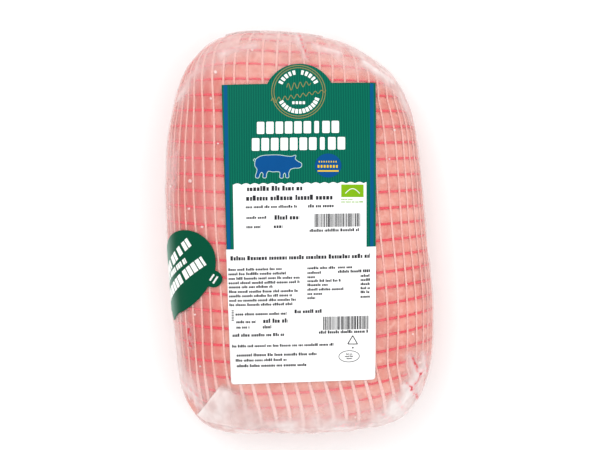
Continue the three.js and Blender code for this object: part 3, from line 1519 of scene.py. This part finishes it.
    def build(self, finish: FilmFinish) -> None:
        """Makes the skin as a thin wall, its flat bubble glints, its welded end and its folded ear.

        Args:
            finish: The film's finish.
        """
        material = finish.build()
        skin = mapped_grid(self.columns, self.rows, self._place, {"haze": self._haze, "juice": self._juice})
        close_ends(skin)
        bmesh.ops.solidify(skin, geom=skin.faces[:], thickness=self.wall)
        parts = {"skin": skin, "glint_bubbles": self._glint_bubbles(), "seal": self._seal(), "fold": self._fold()}
        for name, mesh in parts.items():
            add_piece(to_object(mesh, f"film_{name}", material), "vacuum_film")


# --- Labels ----------------------------------------------------------------------------------

# How close together an outline's points may lie, and how far off a line they count, in millimetres.
CLOSEST = 0.02
LEAST_BEND = 1e-3


def rounded_box(left: float, low: float, right: float, high: float, radius: float = 0.0) -> list[Point]:
    """Gives the outline of a rectangle with rounded corners.

    Args:
        left: Its left edge.
        low: Its low edge.
        right: Its right edge.
        high: Its high edge.
        radius: Its corners' radius.

    Returns:
        The outline.
    """
    if radius <= 0:
        return [(left, low), (right, low), (right, high), (left, high)]
    corners = ((right - radius, low + radius), (right - radius, high - radius),
               (left + radius, high - radius), (left + radius, low + radius))
    loop = []
    for (x, y), start in zip(corners, (-90, 0, 90, 180)):
        loop += arc(x, y, radius, start, start + 90, 5)
    return loop


def arc(x: float, y: float, radius: float, start: float, stop: float, steps: int) -> list[Point]:
    """Gives places along an arc, between two angles in degrees."""
    turns = np.radians(np.linspace(start, stop, steps))
    return [(x + radius * math.cos(turn), y + radius * math.sin(turn)) for turn in turns]


def oval(x: float, y: float, long: float, wide: float, turn: float = 0.0, steps: int = 48) -> list[Point]:
    """Gives the outline of an oval.

    Args:
        x: Its middle's x.
        y: Its middle's y.
        long: Half its length.
        wide: Half its width.
        turn: How far it is turned, in degrees.
        steps: How many points it has.

    Returns:
        The outline.
    """
    angle = math.radians(turn)
    loop = []
    for step in range(steps):
        across, up = long * math.cos(step / steps * TAU), wide * math.sin(step / steps * TAU)
        loop.append((x + across * math.cos(angle) - up * math.sin(angle),
                     y + across * math.sin(angle) + up * math.cos(angle)))
    return loop


def stroke(path: Sequence[Point], width: float) -> list[Point]:
    """Gives the outline of a line of some width along a path.

    Args:
        path: The path.
        width: The line's width.

    Returns:
        The outline.
    """
    line = np.array(path, float)
    way = np.gradient(line, axis=0)
    way /= np.linalg.norm(way, axis=1, keepdims=True)
    side = np.stack([-way[:, 1], way[:, 0]], 1) * width / 2
    return [tuple(spot) for spot in np.concatenate([line + side, (line - side)[::-1]])]


def grown(loop: Sequence[Point], by: float) -> list[Point]:
    """Gives an outline that runs outside another, which turns against the clock.

    Args:
        loop: The other outline.
        by: How far outside it runs.

    Returns:
        The outline.
    """
    line = np.array(loop, float)
    way = np.roll(line, -1, axis=0) - np.roll(line, 1, axis=0)
    way /= np.linalg.norm(way, axis=1, keepdims=True)
    return [tuple(spot) for spot in line + np.stack([way[:, 1], -way[:, 0]], 1) * by]


def joined(loops: Sequence[Sequence[Point]], centre: Point, steps: int = 400) -> list[Point]:
    """Gives the outer outline of overlapping shapes, as seen from a place inside.

    Args:
        loops: The shapes' outlines.
        centre: A place from which the whole outline can be seen.
        steps: How many places to give, besides the shapes' own corners.

    Returns:
        The outline.
    """
    middle = np.array(centre)
    corners = np.concatenate([np.array(loop, float) for loop in loops if len(loop) < 12])
    own = np.arctan2(*(corners - middle).T[::-1])
    angles = np.sort(np.concatenate([np.linspace(-math.pi, math.pi, steps, endpoint=False), own]))
    outline = []
    for angle in angles:
        way, far = np.array([math.cos(angle), math.sin(angle)]), 0.0
        for loop in loops:
            start = np.array(loop, float) - middle
            side = np.roll(start, -1, axis=0) - start
            slant = way[0] * side[:, 1] - way[1] * side[:, 0]
            slant = np.where(np.abs(slant) < 1e-9, 1e-9, slant)
            reach = (start[:, 0] * side[:, 1] - start[:, 1] * side[:, 0]) / slant
            share = (start[:, 0] * way[1] - start[:, 1] * way[0]) / slant
            far = max([far, *reach[(share >= -1e-6) & (share <= 1 + 1e-6)]])
        spot = middle + way * far
        if not outline or math.dist(spot, outline[-1]) > CLOSEST:
            outline.append(tuple(spot))
    return outline


def without_flat_points(loop: Sequence[Point]) -> list[Point]:
    """Leaves out the points of an outline that lie on the line between their neighbours.

    Args:
        loop: The outline, in millimetres.

    Returns:
        The outline with the same shape and fewer points.
    """
    kept = [np.array(loop[0], float)]
    for index in range(1, len(loop)):
        spot, after = np.array(loop[index], float), np.array(loop[(index + 1) % len(loop)], float)
        run = after - kept[-1]
        length = max(float(np.hypot(*run)), 1e-9)
        way = spot - kept[-1]
        if abs(run[0] * way[1] - run[1] * way[0]) / length > LEAST_BEND:
            kept.append(spot)
    return [(float(x), float(y)) for x, y in kept]


@dataclass(frozen=True)
class TextRow:
    """A row of plain blocks where small print would run. Lengths are in millimetres."""

    left: float
    right: float
    low: float
    tall: float
    slope: float = 0.0
    fill: float = 0.62
    narrowest: float = 0.12

    def blocks(self, draw: random.Random) -> list[list[Point]]:
        """Gives the blocks, in words of a few.

        Args:
            draw: The source of their widths and heights.

        Returns:
            Their outlines.
        """
        loops, x = [], self.left
        middle = (self.left + self.right) / 2
        while x < self.right:
            for _ in range(draw.randint(3, 8)):
                wide = self.tall * draw.uniform(0.34, 0.6)
                tall = self.tall * draw.choice((0.7, 0.74, 0.72, 1.0))
                end = min(x + wide, self.right)
                low = self.low + self.slope * (x - middle)
                if end - x > self.narrowest:
                    loops.append([(x, low), (end, low), (end, low + tall), (x, low + tall)])
                x = end + wide * (1 / self.fill - 1) * 0.5
                if x >= self.right:
                    break
            x += self.tall * 0.4
        return loops


class Ink(Enum):
    """The printing inks: a name, a colour and the layer each lies in."""

    PANEL = ("panel_white", ink(252, 252, 252), 1)
    BLUE = ("blue", ink(4, 86, 134), 1)
    RIM = ("rim_pale", ink(196, 222, 216), 1)
    GOLD = ("gold", ink(150, 138, 84), 1)
    PICTURE = ("picture_blue", ink(6, 78, 140), 2)
    WHITE = ("white", ink(250, 250, 248), 3)
    YELLOW = ("yellow", ink(240, 200, 30), 3)
    LEAF = ("leaf_green", ink(126, 178, 20), 2)
    DARK = ("dark_grey", ink(44, 44, 48), 2)


@dataclass
class Drape:
    """Lays flat paper shapes on the film, looking along one direction.

    Shapes are given in millimetres in a plane that may be tilted over the -X side.
    """

    form: PackForm
    tilt: float = 0.0
    inside: float = 20 * MM
    cell: float = 2.5
    ramp: tuple[float, float, float] = (0.0, 1.0, 0.0)

    def project(self, flat: Array, above: Array) -> Array:
        """Gives the places above the film for points of the plane.

        Args:
            flat: The points, in millimetres.
            above: How far above the film's face each lies, in metres.

        Returns:
            The places, in metres.
        """
        angle = math.radians(self.tilt)
        right = np.array([math.cos(angle), 0.0, math.sin(angle)])
        out = np.array([-math.sin(angle), 0.0, math.cos(angle)])
        start = flat[:, :1] * MM * right + flat[:, 1:2] * MM * np.array(AHEAD) + self.inside * out
        place = self.form.meet(start, np.broadcast_to(out, start.shape))
        low, high, rise = self.ramp
        extra = rise * smooth_step(flat[:, 1], low, high)
        return place + self.form.normal(place) * (above + extra)[:, None]

    def sheet(self, loops: Sequence[Sequence[Point]], above: float, thick: float) -> bmesh.types.BMesh:
        """Makes flat shapes of one sheet.

        Args:
            loops: The shapes' outlines, in millimetres.
            above: How far above the film their lower face lies, in metres.
            thick: The sheet's thickness, in metres.

        Returns:
            The closed shapes.
        """
        mesh = bmesh.new()
        for loop in loops:
            mesh.faces.new([mesh.verts.new((x, y, 0)) for x, y in without_flat_points(loop)])
        mesh.normal_update()
        many = [face for face in mesh.faces if len(face.verts) > 4]
        bmesh.ops.triangulate(mesh, faces=many, quad_method="BEAUTY", ngon_method="EAR_CLIP")
        flat = np.array([vert.co[:2] for vert in mesh.verts])
        for axis in (0, 1):
            first, last = (math.floor(edge(flat[:, axis]) / self.cell) for edge in (np.min, np.max))
            for step in range(first + 1, last + 1):
                spot, way = [0.0, 0.0, 0.0], [0.0, 0.0, 0.0]
                spot[axis], way[axis] = step * self.cell, 1.0
                geometry = mesh.verts[:] + mesh.edges[:] + mesh.faces[:]
                bmesh.ops.bisect_plane(mesh, geom=geometry, plane_co=spot, plane_no=way, dist=1e-4)
        bmesh.ops.dissolve_degenerate(mesh, dist=LEAST_BEND, edges=mesh.edges[:])
        made = bmesh.ops.extrude_face_region(mesh, geom=mesh.faces[:], use_keep_orig=True)
        for item in made["geom"]:
            if isinstance(item, bmesh.types.BMVert):
                item.co.z = 1.0
        flat = np.array([vert.co[:] for vert in mesh.verts])
        for vert, spot in zip(mesh.verts, self.project(flat, above + thick * flat[:, 2])):
            vert.co = spot
        bmesh.ops.recalc_face_normals(mesh, faces=mesh.faces)
        return mesh


@dataclass
class Press:
    """Prints shapes on one label, a thin layer of ink for each colour."""

    drape: Drape
    node: str
    paper_top: float
    film: float = 0.02 * MM
    step: float = 0.022 * MM
    sunk: float = 0.01 * MM
    shapes: dict[Ink, list] = field(init=False, default_factory=dict)

    def add(self, color: Ink, *loops: Sequence[Point]) -> None:
        """Prints outlines in a colour."""
        self.shapes.setdefault(color, []).extend(loops)

    def text(self, color: Ink, rows: Sequence[TextRow], seed: int) -> None:
        """Prints rows of plain blocks in a colour.

        Args:
            color: The ink.
            rows: The rows.
            seed: The seed of the blocks' widths.
        """
        draw = random.Random(seed)
        for row in rows:
            self.add(color, *row.blocks(draw))

    def bars(self, left: float, low: float, right: float, high: float, seed: int, slope: float = 0.0) -> None:
        """Prints upright bars of random width, which stand for no code.

        Args:
            left: The field's left edge.
            low: Its low edge.
            right: Its right edge.
            high: Its high edge.
            seed: The seed of the bars' widths.
            slope: How much the field rises to the right.
        """
        draw, x = random.Random(seed), left
        while x < right:
            wide = draw.uniform(0.2, 0.62)
            lift = slope * (x - left)
            self.add(Ink.DARK, rounded_box(x, low + lift, min(x + wide, right), high + lift))
            x += wide + draw.uniform(0.15, 0.4)

    def build(self, finishes: dict[Ink, bpy.types.Material]) -> None:
        """Makes one piece for each colour.

        Args:
            finishes: The material of each ink.
        """
        for color, loops in self.shapes.items():
            name, _, layer = color.value
            mesh = self.drape.sheet(loops, self.paper_top - self.sunk, self.film * layer + self.step)
            add_piece(to_object(mesh, f"{self.node}_{name}", finishes[color], smooth=False), self.node)


@dataclass
class FrontLabel:
    """The green label: a round tab with an emblem, headings, a picture, a badge and a white panel.

    Print is given in millimetres, and the tab is its middle and its radius. A heading is its left, right and
    low edge, its height and how many blocks it has. A ring of blocks is its first and last angle and its
    count. A wave is its place, its length, its height and its count of swings.
    """

    form: PackForm
    edge: Sequence[Point] = ((-36, 68.2), (-33.5, -9.0), (35.0, -7.6), (35.3, 69.5))
    tab: tuple[float, float, float] = (0, 61.7, 16.4)
    middle: Point = (0, 55)
    slope: float = 0.015
    gap: float = 0.02 * MM
    thick: float = 0.2 * MM
    emblem: Point = (-0.5, 64.9)
    rings: tuple[float, float] = (11.3, 12.35)
    ring_blocks: Sequence[tuple] = ((152, 30, 11), (212, 338, 13))
    ring_block_reach: tuple[float, float] = (8.15, 10.2)
    waves: Sequence[tuple] = ((-12.6, -1.9, 25.2, 1.2, 9), (-5.4, 3.0, 11.0, 1.9, 4))
    headings: Sequence[tuple] = ((-19.6, 19.0, 45.6, 5.6, 9), (-21.9, 21.8, 37.9, 5.8, 10))
    scallops: tuple[float, float, int] = (30.7, -30.6, 124)
    scallop: tuple[float, float] = (4.0, 0.7)
    panel_top: float = 22.2
    pig: Sequence[Point] = (
        (1.3, 8.7), (0.7, 7.0), (0.8, 5.4), (1.7, 4.0), (1.5, 2.6), (1.0, 0.4), (2.2, 0.1), (2.9, 1.9),
        (3.7, 2.7), (4.5, 1.9), (4.4, 0.3), (5.6, 0.2), (5.9, 2.0), (6.8, 3.2), (8.8, 2.9), (11.2, 3.0),
        (12.1, 2.6), (12.2, 1.4), (12.2, 0.2), (13.4, 0.1), (13.6, 1.7), (14.3, 2.4), (14.8, 1.6),
        (14.9, 0.3), (16.0, 0.3), (16.0, 2.2), (16.9, 4.0), (18.6, 4.6), (20.8, 4.7), (21.9, 5.4),
        (21.8, 6.7), (20.3, 7.5), (19.0, 8.8), (19.3, 10.3), (17.6, 9.8), (15.2, 9.9), (11.8, 10.4),
        (7.5, 10.4), (3.6, 10.0),
    )
    pig_place: Point = (-21.1, 25.1)
    pig_rim: float = 0.28
    badge: tuple = (13.1, 30.8, 6.1, 5.5)
    badge_rows: Sequence[tuple] = ((8.8, 32.2, 1.1, 0.5, 0.7, 8), (8.3, 29.8, 1.4, 0.8, 1.2, 7))
    badge_bar: tuple = (8.2, 28.0, 18.0, 28.6, 0.28)
    leaf_field: tuple = (19.1, 16.3, 29.4, 22.1)
    leaf_curve: tuple = (21.0, 18.0, 6.6, 2.2)
    bar_field: tuple = (6.9, 2.5, 27.9, 8.6)

    def _panel(self) -> list[Point]:
        """Gives the white panel's outline, with a scalloped top.

        Returns:
            The outline.
        """
        left = self.scallops[1]
        wide, tall = self.scallop
        top = []
        for x in np.linspace(*self.scallops):
            wave = tall * abs(math.sin((x - left) / wide * math.pi))
            top.append((x, self.panel_top + self.slope * (x - left) * 0.9 - tall / 2 + wave))
        return [(-30.1, -8.8), (30.7, -7.5), *top]

    def _emblem(self, press: Press) -> None:
        """Prints the rings, the ring of blocks and the flourish of the tab.

        Args:
            press: The label's press.
        """
        x, y = self.emblem
        near, far = self.ring_block_reach
        for radius in self.rings:
            press.add(Ink.GOLD, stroke(arc(x, y, radius, 0, 359.5, 90), 0.32))
        for start, stop, count in self.ring_blocks:
            for number, angle in enumerate(np.linspace(start, stop, count)):
                if number == count // 2 and start < 180:
                    continue
                half = 3.5 + (number % 3) * 0.35
                inner = arc(x, y, near, angle - half, angle + half, 3)
                outer = arc(x, y, far, angle + half, angle - half, 3)
                press.add(Ink.WHITE, inner + outer)
        for shift in (1.6 * step for step in range(4)):
            press.add(Ink.WHITE, rounded_box(x - 2.9 + shift, y - 5.8, x - 1.8 + shift, y - 4.5))
        for shift, rise, length, tall, waves in self.waves:
            path = []
            for share in np.linspace(0, 1, waves * 10):
                across = shift + length * share
                swing = tall * (1 - 0.55 * share) * math.sin(share * waves * TAU)
                path.append((x + across, y + rise + 0.19 * across + swing))
            press.add(Ink.GOLD, stroke(path, 0.3))

    def _headings(self, press: Press) -> None:
        """Prints two bold rows of plain blocks.

        Args:
            press: The label's press.
        """
        for left, right, low, tall, count in self.headings:
            pitch = (right - left) / count
            for number in range(count):
                start = left + number * pitch
                wide = pitch * (0.5 if number == count - 3 else 0.8)
                start += (pitch * 0.8 - wide) / 2
                y = low + self.slope * start
                press.add(Ink.WHITE, rounded_box(start, y, start + wide, y + tall, 0.5))

    def _pictures(self, press: Press) -> None:
        """Prints a plain pig, a plain round badge and a plain leaf-green field.

        Args:
            press: The label's press.
        """
        x, y = self.pig_place
        loop = [(x + spot[0], y + spot[1]) for spot in closed_curve(self.pig, 4)]
        press.add(Ink.PICTURE, loop)
        press.add(Ink.RIM, grown(loop, self.pig_rim))
        tail = stroke([(x + 1.2, y + 8.2), (x + 0.4, y + 8.9), (x - 0.1, y + 8.3), (x + 0.3, y + 7.6)], 0.3)
        press.add(Ink.RIM, tail)
        press.add(Ink.PICTURE, oval(*self.badge))
        for left, low, pitch, wide, tall, count in self.badge_rows:
            for step in range(count):
                start = left + pitch * step
                press.add(Ink.YELLOW, rounded_box(start, low, start + wide, low + tall))
        press.add(Ink.YELLOW, rounded_box(*self.badge_bar))
        press.add(Ink.LEAF, rounded_box(*self.leaf_field))
        x, y, wide, tall = self.leaf_curve
        curve = [(x + step, y + tall * math.sin(step / wide * math.pi)) for step in np.linspace(0, wide, 14)]
        press.add(Ink.WHITE, stroke(curve, 0.34))

    def build(self, paper: PaperFinish, inks: dict[Ink, bpy.types.Material]) -> None:
        """Makes the paper and its print.

        Args:
            paper: The paper's finish.
            inks: The material of each ink.
        """
        drape = Drape(self.form)
        x, y, radius = self.tab
        outline = joined([self.edge, oval(x, y, radius, radius, 0, 180)], self.middle)
        mesh = drape.sheet([outline], self.gap, self.thick)
        add_piece(to_object(mesh, "front_label_paper", paper.build()), "front_label")
        press = Press(drape, "front_label", self.gap + self.thick)
        press.add(Ink.PANEL, self._panel())
        press.add(Ink.BLUE, [(-33.2, -8.6), (-31.6, -8.6), (-33.35, 68.0), (-35.1, 68.0)])
        press.add(Ink.BLUE, [(32.4, -7.4), (33.9, -7.4), (34.2, 69.1), (32.55, 69.1)])
        self._emblem(press)
        self._headings(press)
        self._pictures(press)
        rows = (
            (-24.1, 1.4, 19.2, 2.3), (-24.5, 15.1, 14.9, 2.4), (-24.7, -1.2, 11.3, 1.3),
            (3.9, 16.3, 11.6, 1.5), (-24.4, -15.3, 6.3, 1.3), (-11.5, -0.1, 6.0, 2.1),
            (-24.4, -17.9, 2.0, 1.4), (-11.8, -7.8, 2.1, 1.7), (4.6, 27.4, 0.5, 1.4),
        )
        press.text(Ink.DARK, [TextRow(*row, self.slope) for row in rows], 5)
        press.text(Ink.LEAF, [TextRow(19.1, 24.5, 14.9, 0.6), TextRow(19.1, 29.2, 13.8, 0.7)], 6)
        press.bars(*self.bar_field, 7, self.slope)
        press.build(inks)


@dataclass
class DataLabel:
    """The white label: small print in two columns, a bar field, a triangle and an oval mark.

    Print is given in millimetres. A row of it is its left, right and low edge and its height.
    """

    form: PackForm
    edge: Sequence[Point] = ((-33.7, -7.8), (-31.6, -70), (34.9, -67.8), (35.1, -6.4))
    corner: float = 1.4
    slope: float = 0.02
    gap: float = 0.02 * MM
    thick: float = 0.2 * MM
    overlap: tuple[float, float] = (-14.0, -9.5)
    overlap_gap: float = 0.03 * MM
    bar_field: tuple = (10.8, -44.7, 31.8, -38.6)
    triangle: tuple[float, float, float] = (24.4, -49.9, 2.6)
    dot: tuple = (24.5, -52.9, 0.4, 0.4, 0, 10)
    oval_mark: tuple = (22.8, -56.9, 4.7, 2.6, 2, 60)

    def _outline(self) -> list[Point]:
        """Gives the outline, with its two lower corners rounded.

        Returns:
            The outline.
        """
        loop = []
        for index, (x, y) in enumerate(self.edge):
            if index not in (1, 2):
                loop.append((x, y))
                continue
            inward, start = (1, 180) if index == 1 else (-1, 270)
            loop += arc(x + inward * self.corner, y + self.corner, self.corner, start, start + 90, 6)
        return loop

    def _rows(self) -> list[TextRow]:
        """Gives the rows of small print.

        Returns:
            The rows.
        """
        rows = [(-31.7, 32.3, -12.2, 2.0)]
        for line, end in enumerate((-8.1, -6.3, 0, 0, -12.4, -0.6, -3.5, -1.7, -3.2)):
            rows.append((-32.7 + 0.06 * line, end, -17.4 - 2.02 * line, 1.25))
        right = ((16.4, -16.7), (9.8, -18.9), (7.2, -20.9), (19.0, -22.6), (12.9, -24.5), (20.1, -26.5),
                 (11.0, -28.6), (7.2, -30.5))
        rows += [(3.6, end, y, 1.2) for end, y in right]
        rows += [(17.6, 24.2, -16.4, 1.2), (17.6, 32.3, -18.3, 1.3)]
        rows += [(28.0, 32.3, y, 1.2) for y in (-20.3, -22.2, -24.1, -26.0, -27.8, -29.9)]
        rows += [
            (-29.4, -6.0, -37.9, 1.3), (-2.3, 10.1, -36.9, 1.7), (-29.1, -20.1, -41.6, 1.3),
            (-16.7, -5.5, -41.4, 2.0), (-29.0, -23.0, -44.1, 1.3), (-16.9, -13.0, -44.0, 1.5),
            (-30.8, -6.9, -47.7, 1.5), (-31.0, 15.6, -52.4, 1.25), (-28.9, 7.8, -56.7, 1.35),
            (-29.4, -5.8, -59.2, 1.25), (-28.9, 3.2, -61.7, 1.35), (8.9, 31.4, -46.2, 1.4),
            (21.4, 24.4, -56.1, 0.6), (20.9, 24.9, -57.2, 0.7), (21.6, 24.2, -58.2, 0.6),
        ]
        return [TextRow(*row, self.slope) for row in rows]

    def build(self, paper: PaperFinish, inks: dict[Ink, bpy.types.Material]) -> None:
        """Makes the paper and its print.

        Args:
            paper: The paper's finish.
            inks: The material of each ink.
        """
        drape = Drape(self.form, ramp=(*self.overlap, self.thick + self.overlap_gap))
        mesh = drape.sheet([self._outline()], self.gap, self.thick)
        add_piece(to_object(mesh, "data_label_paper", paper.build()), "data_label")
        press = Press(drape, "data_label", self.gap + self.thick)
        press.text(Ink.DARK, self._rows(), 11)
        press.bars(*self.bar_field, 12, self.slope)
        press.add(Ink.DARK, *(rounded_box(-31.2, y, -30.2, y + 0.4) for y in np.arange(-40.6, -35.7, 0.75)))
        corners = arc(*self.triangle, 90, 330, 3)
        for corner, following in zip(corners, corners[1:] + corners[:1]):
            press.add(Ink.DARK, stroke([corner, following], 0.42))
        press.add(Ink.DARK, oval(*self.dot))
        mark = oval(*self.oval_mark)
        press.add(Ink.DARK, stroke([*mark, mark[0]], 0.28))
        press.build(inks)


@dataclass
class SideSticker:
    """The green speech-bubble sticker that wraps over the pack's -X side.

    Shapes are given in millimetres. The bubble is its middle, half its length and width, and its turn, and
    the lobe is its middle and its radius. A row of blocks is its left and right end, how high each end lies,
    and how tall its blocks are.
    """

    form: PackForm
    bubble: tuple = (-12.2, -18.4, 22.5, 17.2, 40)
    tail: Sequence[Point] = (
        (4.2, -24.2), (-7.0, -34.1), (-12.3, -36.8), (-19.0, -41.2), (-31, -25), (-12, -18),
    )
    lobe: tuple[float, float, float] = (6.9, -21.3, 4.0)
    tilt: float = 45.0
    inside: float = 42 * MM
    cell: float = 2.0
    gap: float = 0.02 * MM
    thick: float = 0.16 * MM
    rows: Sequence[tuple] = (
        (-26.0, -3.0, -22.6, -6.0, 4.4), (-25.0, -5.9, -24.6, -13.9, 2.5), (-29.0, 4.2, -36.4, -14.8, 4.6),
        (5.9, 8.0, -22.3, -19.1, 0.8), (7.3, 9.3, -23.6, -20.4, 0.8),
    )

    def _row(self, left: float, right: float, low: float, high: float, tall: float, seed: int) -> list:
        """Gives one slanting row of plain blocks.

        Args:
            left: Where the row starts.
            right: Where it ends.
            low: How high it starts.
            high: How high it ends.
            tall: How tall its blocks are.
            seed: The seed of the blocks' widths.

        Returns:
            The blocks' outlines.
        """
        draw = random.Random(seed)
        length = math.hypot(right - left, high - low)
        way = np.array([right - left, high - low]) / length
        side = np.array([-way[1], way[0]])
        loops, run = [], 0.0
        while run < length:
            wide = min(tall * draw.uniform(0.42, 0.6), length - run)
            start = np.array([left, low]) + way * run
            if wide > 0.15 * tall:
                stop = start + way * wide
                corners = (start, stop, stop + side * tall, start + side * tall)
                loops.append([tuple(spot) for spot in corners])
            run += wide + tall * draw.choice((0.13, 0.13, 0.13, 0.4))
        return loops

    def build(self, paper: PaperFinish, inks: dict[Ink, bpy.types.Material]) -> None:
        """Makes the paper and its print.

        Args:
            paper: The paper's finish.
            inks: The material of each ink.
        """
        drape = Drape(self.form, tilt=self.tilt, inside=self.inside, cell=self.cell)
        x, y, radius = self.lobe
        shapes = [oval(*self.bubble, 160), self.tail, oval(x, y, radius, radius, 0, 80)]
        mesh = drape.sheet([joined(shapes, self.bubble[:2])], self.gap, self.thick)
        add_piece(to_object(mesh, "side_sticker_paper", paper.build()), "side_sticker")
        press = Press(drape, "side_sticker", self.gap + self.thick)
        for index, (left, right, low, high, tall) in enumerate(self.rows):
            press.add(Ink.WHITE, *self._row(left, right, low, high, tall, 20 + index))
        press.build(inks)


@dataclass
class Studio:
    """The floor, the lights and the camera.

    A light is its name, its place and its size in metres, and its power in watts.
    """

    floor_size: float = 3.0
    view_width: float = 284.3 * MM
    camera_rise: float = 1.0
    sensor: float = 36.0
    aim: Point = (0.2 * MM, 3.5 * MM)
    lights: Sequence[tuple] = (("key", (-0.5, 0.7, 1.3), 0.9, 5.0), ("fill", (0.8, -0.3, 1.2), 0.9, 2.5))

    def build_camera(self, widest: float) -> None:
        """Looks straight down on the labels from far above.

        Args:
            widest: The height of the pack's widest cut.
        """
        data = bpy.data.cameras.new("camera")
        data.sensor_width = self.sensor
        data.lens = self.sensor * self.camera_rise / self.view_width
        data.clip_end = 20
        item = bpy.data.objects.new("camera", data)
        item.location = (*self.aim, self.camera_rise + widest)
        bpy.context.scene.collection.objects.link(item)
        bpy.context.scene.camera = item

    def build_floor(self) -> None:
        """Makes the plain floor."""
        mesh = bmesh.new()
        bmesh.ops.create_grid(mesh, x_segments=8, y_segments=8, size=self.floor_size / 2)
        to_object(mesh, "floor", FloorFinish().build(), smooth=False)

    def build_lights(self) -> None:
        """Lights the floor softly from all round, with two large soft boxes above."""
        world = bpy.data.worlds.new("studio")
        world.use_nodes = True
        backdrop = world.node_tree.nodes["Background"].inputs
        backdrop["Color"].default_value = (1, 1, 1, 1)
        backdrop["Strength"].default_value = 1.0
        bpy.context.scene.world = world
        for name, place, size, power in self.lights:
            data = bpy.data.lights.new(name, "AREA")
            data.size, data.energy = size, power
            item = bpy.data.objects.new(name, data)
            item.location = place
            item.rotation_euler = (-Vector(place)).to_track_quat("-Z", "Y").to_euler()
            bpy.context.scene.collection.objects.link(item)


def main() -> None:
    """Builds every piece in order."""
    logging.basicConfig(level=logging.INFO, format="%(name)s %(message)s")
    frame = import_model()
    log.info("the pack is made of %s", ", ".join(frame["nodes"]))
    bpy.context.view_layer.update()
    form = PackForm(*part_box("vacuum_film"))
    tube = TubeMap(form)
    net = NetPlan(tube)
    log.info("tube %.1f mm long, %.1f mm round, %d threads", tube.length / MM, tube.girth.max() / MM,
             net.thread_count())
    studio = Studio()
    studio.build_camera(form.widest)
    studio.build_floor()
    studio.build_lights()
    bpy.context.scene.view_settings.view_transform = "Standard"
    Ham(net).build(MeatFinish())
    Netting(net).build(
        YarnFinish(Yarn.STRAND, ink(250, 222, 218), ink(236, 166, 154), 1.8 * MM, 0.6),
        YarnFinish(Yarn.THREAD, ink(232, 24, 60), ink(236, 92, 108), 1.2 * MM),
    )
    VacuumFilm(net).build(FilmFinish())
    inks = {color: InkFinish(f"ink_{color.value[0]}", color.value[1]).build() for color in Ink}
    FrontLabel(form).build(PaperFinish("green_paper", ink(0, 92, 76), ink(6, 116, 90)), inks)
    DataLabel(form).build(PaperFinish("white_paper", ink(252, 252, 252)), inks)
    # The sticker's paper gets a painted glare, pale grey-green, low down where it rounds the side.
    SideSticker(form).build(PaperFinish("sticker_paper", ink(0, 78, 54), wear_and_glare=ink(150, 186, 172)), inks)


if __name__ == "__main__":
    main()
